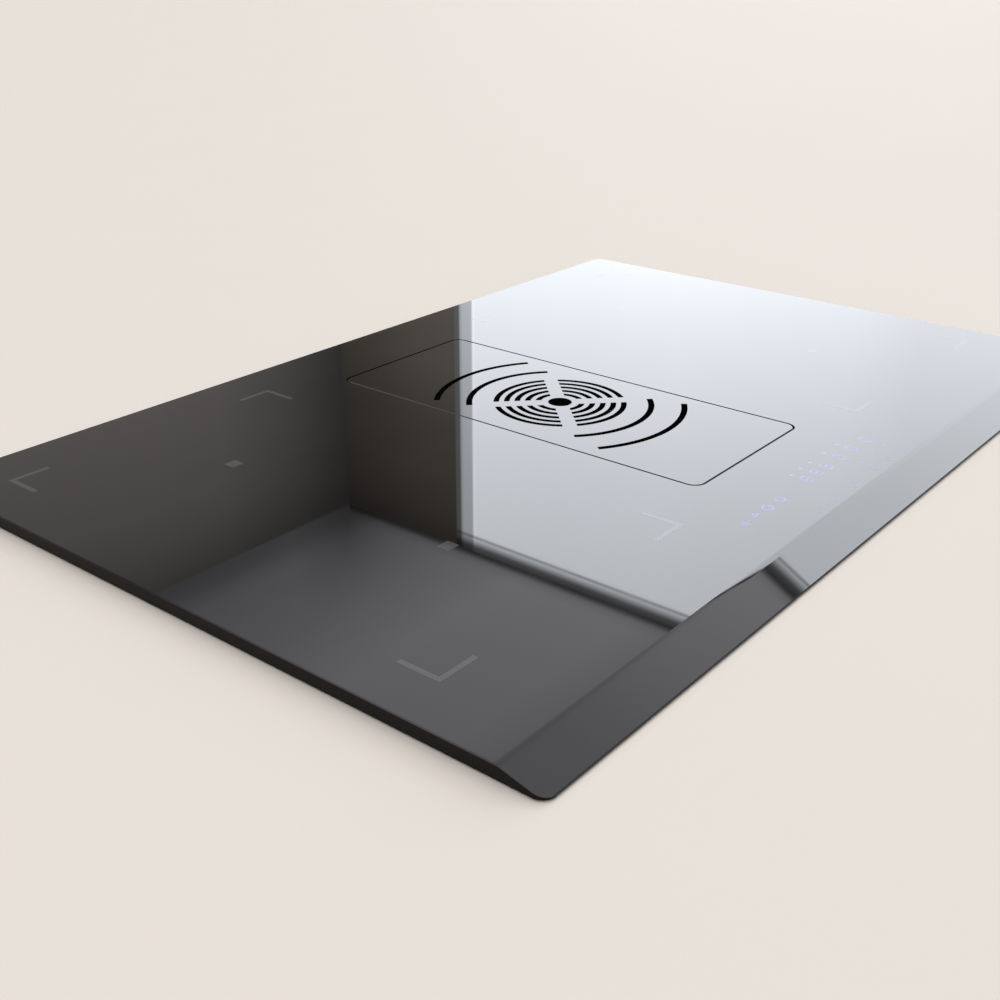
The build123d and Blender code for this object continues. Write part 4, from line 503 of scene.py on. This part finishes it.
# the ground sides and back of the glass, which mirror less than its polished top
facet_end = GLASS_LOW.y + FACET_WIDTH
edge_path = []
for side_x, side_y, start in ((-1, -1, 270), (-1, 1, 180), (1, 1, 90), (1, -1, 0)):
    middle_x = side_x * (GLASS_HIGH.x - EDGE_CORNER_R)
    middle_y = side_y * (GLASS_HIGH.y - EDGE_CORNER_R)
    for turn in spread(EDGE_CORNER_STEPS, math.radians(start), math.radians(start - 90)):
        edge_path.append(Vector((middle_x + EDGE_CORNER_R * math.cos(turn),
                                 middle_y + EDGE_CORNER_R * math.sin(turn), 0)))
    if side_x == side_y:     # the wall after this corner passes the end of the facet
        edge_path.append(Vector((side_x * GLASS_HIGH.x, facet_end, 0)))
facet_rise = (TOP - FACET_FOOT) / (FACET_WIDTH - EDGE_BEVEL)
edge_tops = []
for place in edge_path:
    past_bevel = place.y - GLASS_LOW.y - EDGE_BEVEL
    facet_level = FACET_FOOT + min(facet_rise * past_bevel, past_bevel)
    edge_tops.append(min(TOP - EDGE_BEVEL, facet_level) - EDGE_ROOM)
edge = Shape()
edge.strip(edge_path, edge_tops, GLASS_LOW.z, EDGE_PROUD)
edge.piece("glass_edge", "glass_ground", smooth=False)


# ---------------------------------------------------------------- lit signs

# which bars of a seven-bar digit are lit, from the top, clockwise, then the middle
SEGMENTS = {
    "8": (1, 1, 1, 1, 1, 1, 1),
    "0": (1, 1, 1, 1, 1, 1, 0),
}


def digit(shape, x, y, width, height, name):
    half_x, half_y = (width - SEGMENT) / 2, (height - SEGMENT) / 2
    across, along = width - SEGMENT - 2 * SEGMENT_GAP, half_y - 2 * SEGMENT_GAP
    lean = DIGIT_LEAN
    bars = ((x + lean, y + half_y, across, SEGMENT), (x + half_x + lean / 2, y + half_y / 2, SEGMENT, along),
            (x + half_x - lean / 2, y - half_y / 2, SEGMENT, along), (x - lean, y - half_y, across, SEGMENT),
            (x - half_x - lean / 2, y - half_y / 2, SEGMENT, along),
            (x - half_x + lean / 2, y + half_y / 2, SEGMENT, along), (x, y, across, SEGMENT))
    for is_lit, (bar_x, bar_y, bar_width, bar_depth) in zip(SEGMENTS[name], bars):
        if is_lit:
            upright = bar_depth > bar_width
            shape.bar(bar_x, bar_y, bar_width, bar_depth, lean / 2 if upright else 0.0)


# Signs: the numbers are shares of the sign's size, and an arc's last two are degrees.

def pause_sign(shape, x, y, size):
    for side in (-1, 1):
        shape.bar(x + side * size * 0.22, y, size * 0.16, size * 0.9)
    shape.bar(x + size * 0.75, y, size * 0.35, size * 0.14)


def timer_sign(shape, x, y, size):
    shape.arc(x, y, size * 0.46, size * 0.13, 60, 400)
    shape.bar(x, y + size * 0.16, size * 0.11, size * 0.34)
    shape.bar(x + size * 0.1, y, size * 0.24, size * 0.11)


def power_sign(shape, x, y, size):
    shape.arc(x, y, size * 0.46, size * 0.13, 120, 420)
    shape.bar(x, y + size * 0.36, size * 0.12, size * 0.5)


def dash_sign(shape, x, y, size):
    shape.bar(x, y, size, size * 0.16)
    shape.bar(x, y + size * 0.3, size * 0.16, size * 0.3)


# places along the rows, and the sizes of signs, are in millimetres
lit = Shape()
for sign, place, size in ((pause_sign, -100.5, 6.5), (dash_sign, -85.5, 7.5), (timer_sign, -70.5, 7.8),
                          (power_sign, -54, 7.5)):
    sign(lit, place * MM, SIGN_ROW, size * MM)
for place in (-14, 0, 14, 36, 56):
    lit.disc(place * MM, DOT_ROW, DOT_R)
for place, name in ((-13.5, "8"), (1, "8"), (15, "8"), (36, "0"), (56, "0"), (77.5, "0")):
    digit(lit, place * MM, DIGIT_ROW, *DIGIT_SIZE, name)
lit.piece("touch_signs", "touch_light", smooth=False)

dim = Shape()
for place in (35.5, 56, 76):
    dim.disc(place * MM, DIM_DOT_ROW, DOT_R)
for place in (0, 35.5, 56, 77.5):
    digit(dim, place * MM, DIM_DIGIT_ROW, *DIM_DIGIT_SIZE, "0")
for place in spread(STROKES, -78.8, -26):
    dim.bar(place * MM, SLIDER_ROW, *STROKE_SIZE)
dim.piece("touch_signs_dim", "touch_light_dim", smooth=False)


# ---------------------------------------------------------------- grease filter

mesh_low, mesh_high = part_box("filter_mesh")
mesh_middle = (mesh_low + mesh_high) / 2
weave = Shape()
weave_z = mesh_high.z + WEAVE_WIRE + WEAVE_RISE
room_x = mesh_high.x - mesh_middle.x - WEAVE_MARGIN
room_y = mesh_high.y - mesh_middle.y - WEAVE_MARGIN
reach = math.ceil((room_x + room_y) / WEAVE_PITCH)
for family in (1, -1):
    for wire in range(-reach, reach + 1):
        path = []
        for crossing in range(-reach, reach + 1):
            u, v = (crossing, wire) if family == 1 else (wire, crossing)
            x, y = (u + v) * WEAVE_PITCH * math.sqrt(0.5), (u - v) * WEAVE_PITCH * math.sqrt(0.5)
            if abs(x) <= room_x and abs(y) <= room_y:
                lift = family * WEAVE_RISE * (-1) ** (u + v)
                path.append(Vector((mesh_middle.x + x, mesh_middle.y + y, weave_z + lift)))
        if len(path) > 1:
            weave.tube(path, Z_AXIS, WEAVE_WIRE, WEAVE_WIRE, 6)
weave.piece("filter_weave", "stainless", "filter")

rim = Shape()
rim_path = [Vector((mesh_middle.x + x, mesh_middle.y + y, mesh_high.z + RIM_LIFT))
            for x, y in rounded(room_x, room_y, RIM_BEND, RIM_BEND_STEPS)]
rim.tube(rim_path, Z_AXIS, RIM_ACROSS, RIM_THICK, 10, closed=True)
rim.piece("filter_rim", "stainless", "filter")


# ---------------------------------------------------------------- windings

for side, name in ((-1, "left"), (1, "right")):
    litz = Shape()
    low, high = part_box("coil_windings_" + name)
    for row in (low.y + COIL_R, high.y - COIL_R):
        for inner, outer, turns in COIL_RINGS:
            pitch = (outer - inner) / (turns + 1)
            steps = turns * COIL_STEPS
            path = []
            for step in range(steps + 1):
                radius = inner + pitch / 2 + turns * pitch * step / steps
                angle = side * math.tau * step / COIL_STEPS
                path.append(Vector(((low.x + high.x) / 2 + radius * math.cos(angle),
                                    row + radius * math.sin(angle), (low.z + high.z) / 2)))
            litz.tube(path, Z_AXIS, LITZ_SHARE * pitch, (high.z - low.z) / 2)
    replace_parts(litz.piece("litz_turns_" + name, "copper_litz"), "coil_windings_" + name)

stator_low, stator_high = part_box("motor_stator")
stator_middle = (stator_low + stator_high) / 2
turn_points = rounded(TOOTH_WIDTH / 2 + STATOR_WIRE, (stator_high.z - stator_low.z) / 2 + STATOR_WIRE,
                      TOOTH_BEND, TOOTH_BEND_STEPS)
enamel = Shape()
for tooth in range(STATOR_TEETH):
    angle = math.tau * tooth / STATOR_TEETH
    outward = Vector((math.cos(angle), math.sin(angle), 0))
    sideways = Vector((-math.sin(angle), math.cos(angle), 0))
    for turn in range(TOOTH_TURNS):
        middle = stator_middle + outward * (TOOTH_START + 2 * STATOR_WIRE * turn)
        enamel.tube([middle + sideways * u + Z_AXIS * v for u, v in turn_points], outward, STATOR_WIRE,
                    STATOR_WIRE, 6, closed=True)
enamel.piece("stator_windings", "copper_litz")


# ---------------------------------------------------------------- pressed and moulded detail

beads = Shape()
for level in BEAD_LEVELS:
    for side, runs in ((-1, BEADS_FRONT), (1, BEADS_REAR)):
        for start, end in runs:
            beads.bead(Vector((start * MM, side * TRAY_Y, level)), Vector((end * MM, side * TRAY_Y, level)),
                       Y_AXIS * side, BEAD_ACROSS, BEAD_PROUD)
    for side in (-1, 1):
        beads.bead(Vector((side * TRAY_X, -BEAD_SIDE, level)), Vector((side * TRAY_X, BEAD_SIDE, level)),
                   X_AXIS * side, BEAD_ACROSS, BEAD_PROUD)
beads.piece("casing_beads", "galvanised")

rivets = Shape()
for place in spread(RIVETS_X, -RIVET_HALF_X, RIVET_HALF_X):
    for side in (-1, 1):
        rivets.dome(Vector((place, side * TRAY_Y, RIVET_LEVEL)), Y_AXIS * side, RIVET_R, RIVET_PROUD)
for place in spread(RIVETS_Y, -RIVET_HALF_Y, RIVET_HALF_Y):
    for side in (-1, 1):
        rivets.dome(Vector((side * TRAY_X, place, RIVET_LEVEL)), X_AXIS * side, RIVET_R, RIVET_PROUD)
rivets.piece("casing_rivets", "steel")


def wall_rib(shape, foot, bottom, top, room, outward):
    """An upright rib on a housing's wall, with room giving the free wall above and below it."""
    shape.bead(Vector((foot.x, foot.y, top - room[0])), Vector((foot.x, foot.y, bottom + room[1])), outward,
               RIB_ACROSS, RIB_PROUD)


box_low, box_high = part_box("air_box")
ribs = Shape()
for place in spread(BOX_RIBS, -BOX_SIDE + BOX_CORNER_ROOM, BOX_SIDE - BOX_CORNER_ROOM):
    for face, outward in ((box_low.y, -Y_AXIS), (box_high.y, Y_AXIS)):
        wall_rib(ribs, Vector((place, face, 0)), box_low.z, box_high.z, BOX_RIB_ROOM, outward)
ribs.piece("air_box_ribs", "black_plastic")

scroll_low, scroll_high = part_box("scroll_housing")
shell = Shape()
for turn in spread(SCROLL_RIBS, *SCROLL_TURNS):
    outward = Vector((math.cos(math.radians(turn)), math.sin(math.radians(turn)), 0))
    growth = SCROLL_GROWTH if turn < 0 else 0.0
    foot = Vector((stator_middle.x - growth, stator_middle.y, 0)) + outward * (SCROLL_R + growth)
    wall_rib(shell, foot, scroll_low.z, scroll_high.z, SCROLL_RIB_ROOM, outward)
shell.piece("scroll_ribs", "black_plastic")

cup_low, cup_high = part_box("drip_container")
grip = Shape()
for rise in spread(GRIP_RIBS, -GRIP_RISE, GRIP_RISE):
    level = (cup_low.z + cup_high.z) / 2 + rise
    grip.bead(Vector((-GRIP_HALF, cup_low.y, level)), Vector((GRIP_HALF, cup_low.y, level)), -Y_AXIS,
              GRIP_ACROSS, GRIP_PROUD)
grip.piece("container_grip", "grey_plastic", "container")


# ---------------------------------------------------------------- camera and floor

scene = bpy.context.scene
scene.view_settings.view_transform = "Standard"

camera_data = bpy.data.cameras.new("camera")
camera_data.lens = CAMERA_LENS
camera_data.sensor_width = SENSOR
camera = bpy.data.objects.new("camera", camera_data)
scene.collection.objects.link(camera)
camera_back = CAMERA_RIGHT.cross(CAMERA_UP).normalized()
camera_axes = Matrix((CAMERA_RIGHT.normalized(), CAMERA_UP.normalized(), camera_back)).transposed()
camera.matrix_world = Matrix.Translation(CAMERA_PLACE) @ camera_axes.to_4x4()
scene.camera = camera

floor_mesh = bpy.data.meshes.new("floor")
floor_points = [(side_x * half_x, side_y * half_y, 0)
                for half_x, half_y in ((CUTOUT_X / 2, CUTOUT_Y / 2), (FLOOR_REACH, FLOOR_REACH))
                for side_x, side_y in ((-1, -1), (1, -1), (1, 1), (-1, 1))]
floor_mesh.from_pydata(floor_points, [], [(i, (i + 1) % 4, 4 + (i + 1) % 4, 4 + i) for i in range(4)])
floor = bpy.data.objects.new("floor", floor_mesh)
scene.collection.objects.link(floor)
floor_mesh.materials.append(finish("floor", grain(7), scaled(FLOOR_COLOUR, FLOOR_SHADE), FLOOR_COLOUR,
                                   (0.75, 0.8), Specular_IOR_Level=FLOOR_GLOSS))


# ---------------------------------------------------------------- the room around it

def between(tree, value, low, high):
    """1 where value lies between low and high, else 0."""
    return math_node(tree, "MULTIPLY", math_node(tree, "GREATER_THAN", value, low),
                     math_node(tree, "LESS_THAN", value, high))


def product(tree, first, *others):
    for other in others:
        first = math_node(tree, "MULTIPLY", first, other)
    return first


def graded(tree, value, stops):
    """A level read from stops of (value, level)."""
    low, high = stops[0][0], stops[-1][0]
    along = node(tree, "ShaderNodeMapRange")
    along.inputs["From Min"].default_value = low
    along.inputs["From Max"].default_value = high
    tree.links.new(value, along.inputs["Value"])
    shades = [((at - low) / (high - low), grey(level / LEVEL_SCALE)) for at, level in stops]
    return math_node(tree, "MULTIPLY", ramp(tree, along.outputs[0], shades), LEVEL_SCALE)


def tinted(tree, colour, level):
    made = node(tree, "ShaderNodeVectorMath", operation="SCALE")
    made.inputs[0].default_value = colour
    feed(tree, made.inputs["Scale"], level)
    return made.outputs[0]


def choose(tree, mask, when_set, otherwise):
    made = node(tree, "ShaderNodeMix", data_type="VECTOR")
    for name, value in (("Factor_Float", mask), ("A_Vector", otherwise), ("B_Vector", when_set)):
        feed(tree, next(socket for socket in made.inputs if socket.identifier == name), value)
    return next(socket for socket in made.outputs if socket.identifier == "Result_Vector")


def studio_world():
    """A pale room: a bright window wall to the right, darker walls behind, a light ceiling."""
    world = bpy.data.worlds.new("studio")
    world.use_nodes = True
    tree = world.node_tree
    split = node(tree, "ShaderNodeSeparateXYZ")
    tree.links.new(node(tree, "ShaderNodeTexCoord").outputs["Generated"], split.inputs[0])
    x, y, z = split.outputs
    right = math_node(tree, "MAXIMUM", x, SLOPE_LIMIT)
    across = math_node(tree, "DIVIDE", y, right)
    up = math_node(tree, "SUBTRACT", math_node(tree, "DIVIDE", z, right), graded(tree, across, CEILING_RISE))
    up_rear = math_node(tree, "DIVIDE", z, math_node(tree, "MAXIMUM", y, SLOPE_LIMIT))

    window = product(tree, graded(tree, across, WINDOW_ACROSS), graded(tree, across, WINDOW_EDGE),
                     graded(tree, up, WINDOW_UP), graded(tree, up, SILL))
    walls = choose(tree, math_node(tree, "GREATER_THAN", across, WINDOW_SLOPE),
                   tinted(tree, WALL_COLOUR, product(tree, graded(tree, across, DARK_WALL),
                                                     graded(tree, up, DARK_WALL_UP))),
                   tinted(tree, WINDOW_COLOUR, window))
    rear_wall = tinted(tree, REAR_COLOUR, product(tree, graded(tree, across, REAR_WALL),
                                                  graded(tree, up_rear, REAR_WALL_UP)))
    shade = product(tree, graded(tree, across, CORNER_SHADE), graded(tree, up_rear, CORNER_FADE))
    before_corner = math_node(tree, "LESS_THAN", across, CORNER_SLOPE)
    edge = graded(tree, up, CEILING_EDGE)
    edge = math_node(tree, "MAXIMUM", edge, math_node(tree, "SUBTRACT", 1.0, before_corner))
    open_back = product(tree, graded(tree, up_rear, CEILING_BACK), math_node(tree, "SUBTRACT", 1.0, shade))
    ceiling = choose(tree, graded(tree, across, FRONT_SHARE),
                     tinted(tree, CEILING_COLOUR, product(tree, graded(tree, up, CEILING_FRONT), edge)),
                     tinted(tree, CEILING_COLOUR, product(tree, open_back, edge)))
    studio = tinted(tree, STUDIO_COLOUR, graded(tree, z, STUDIO_UP))

    on_right_wall = product(tree, between(tree, across, WINDOW_START, CORNER_SLOPE),
                            math_node(tree, "LESS_THAN", up, CEILING_SLOPE))
    past_corner = math_node(tree, "GREATER_THAN", across, CORNER_SLOPE)
    on_rear_wall = product(tree, past_corner,
                           math_node(tree, "LESS_THAN", up_rear, CEILING_SLOPE / CORNER_SLOPE))
    ahead = math_node(tree, "GREATER_THAN", across, WINDOW_START)
    light = choose(tree, ahead, ceiling, studio)
    light = choose(tree, on_rear_wall, rear_wall, light)
    light = choose(tree, on_right_wall, walls, light)

    below = BELOW_LEVEL
    for axis, share in zip((x, y, z), BELOW_TURN):
        below = math_node(tree, "ADD", math_node(tree, "MULTIPLY", axis, share), below)
    light = choose(tree, math_node(tree, "LESS_THAN", z, 0.0), tinted(tree, STUDIO_COLOUR, below), light)

    camera_ray = node(tree, "ShaderNodeLightPath").outputs["Is Camera Ray"]
    light = choose(tree, camera_ray, BACKDROP_COLOUR, light)
    tree.links.new(light, tree.nodes["Background"].inputs["Color"])
    return world


scene.world = studio_world()
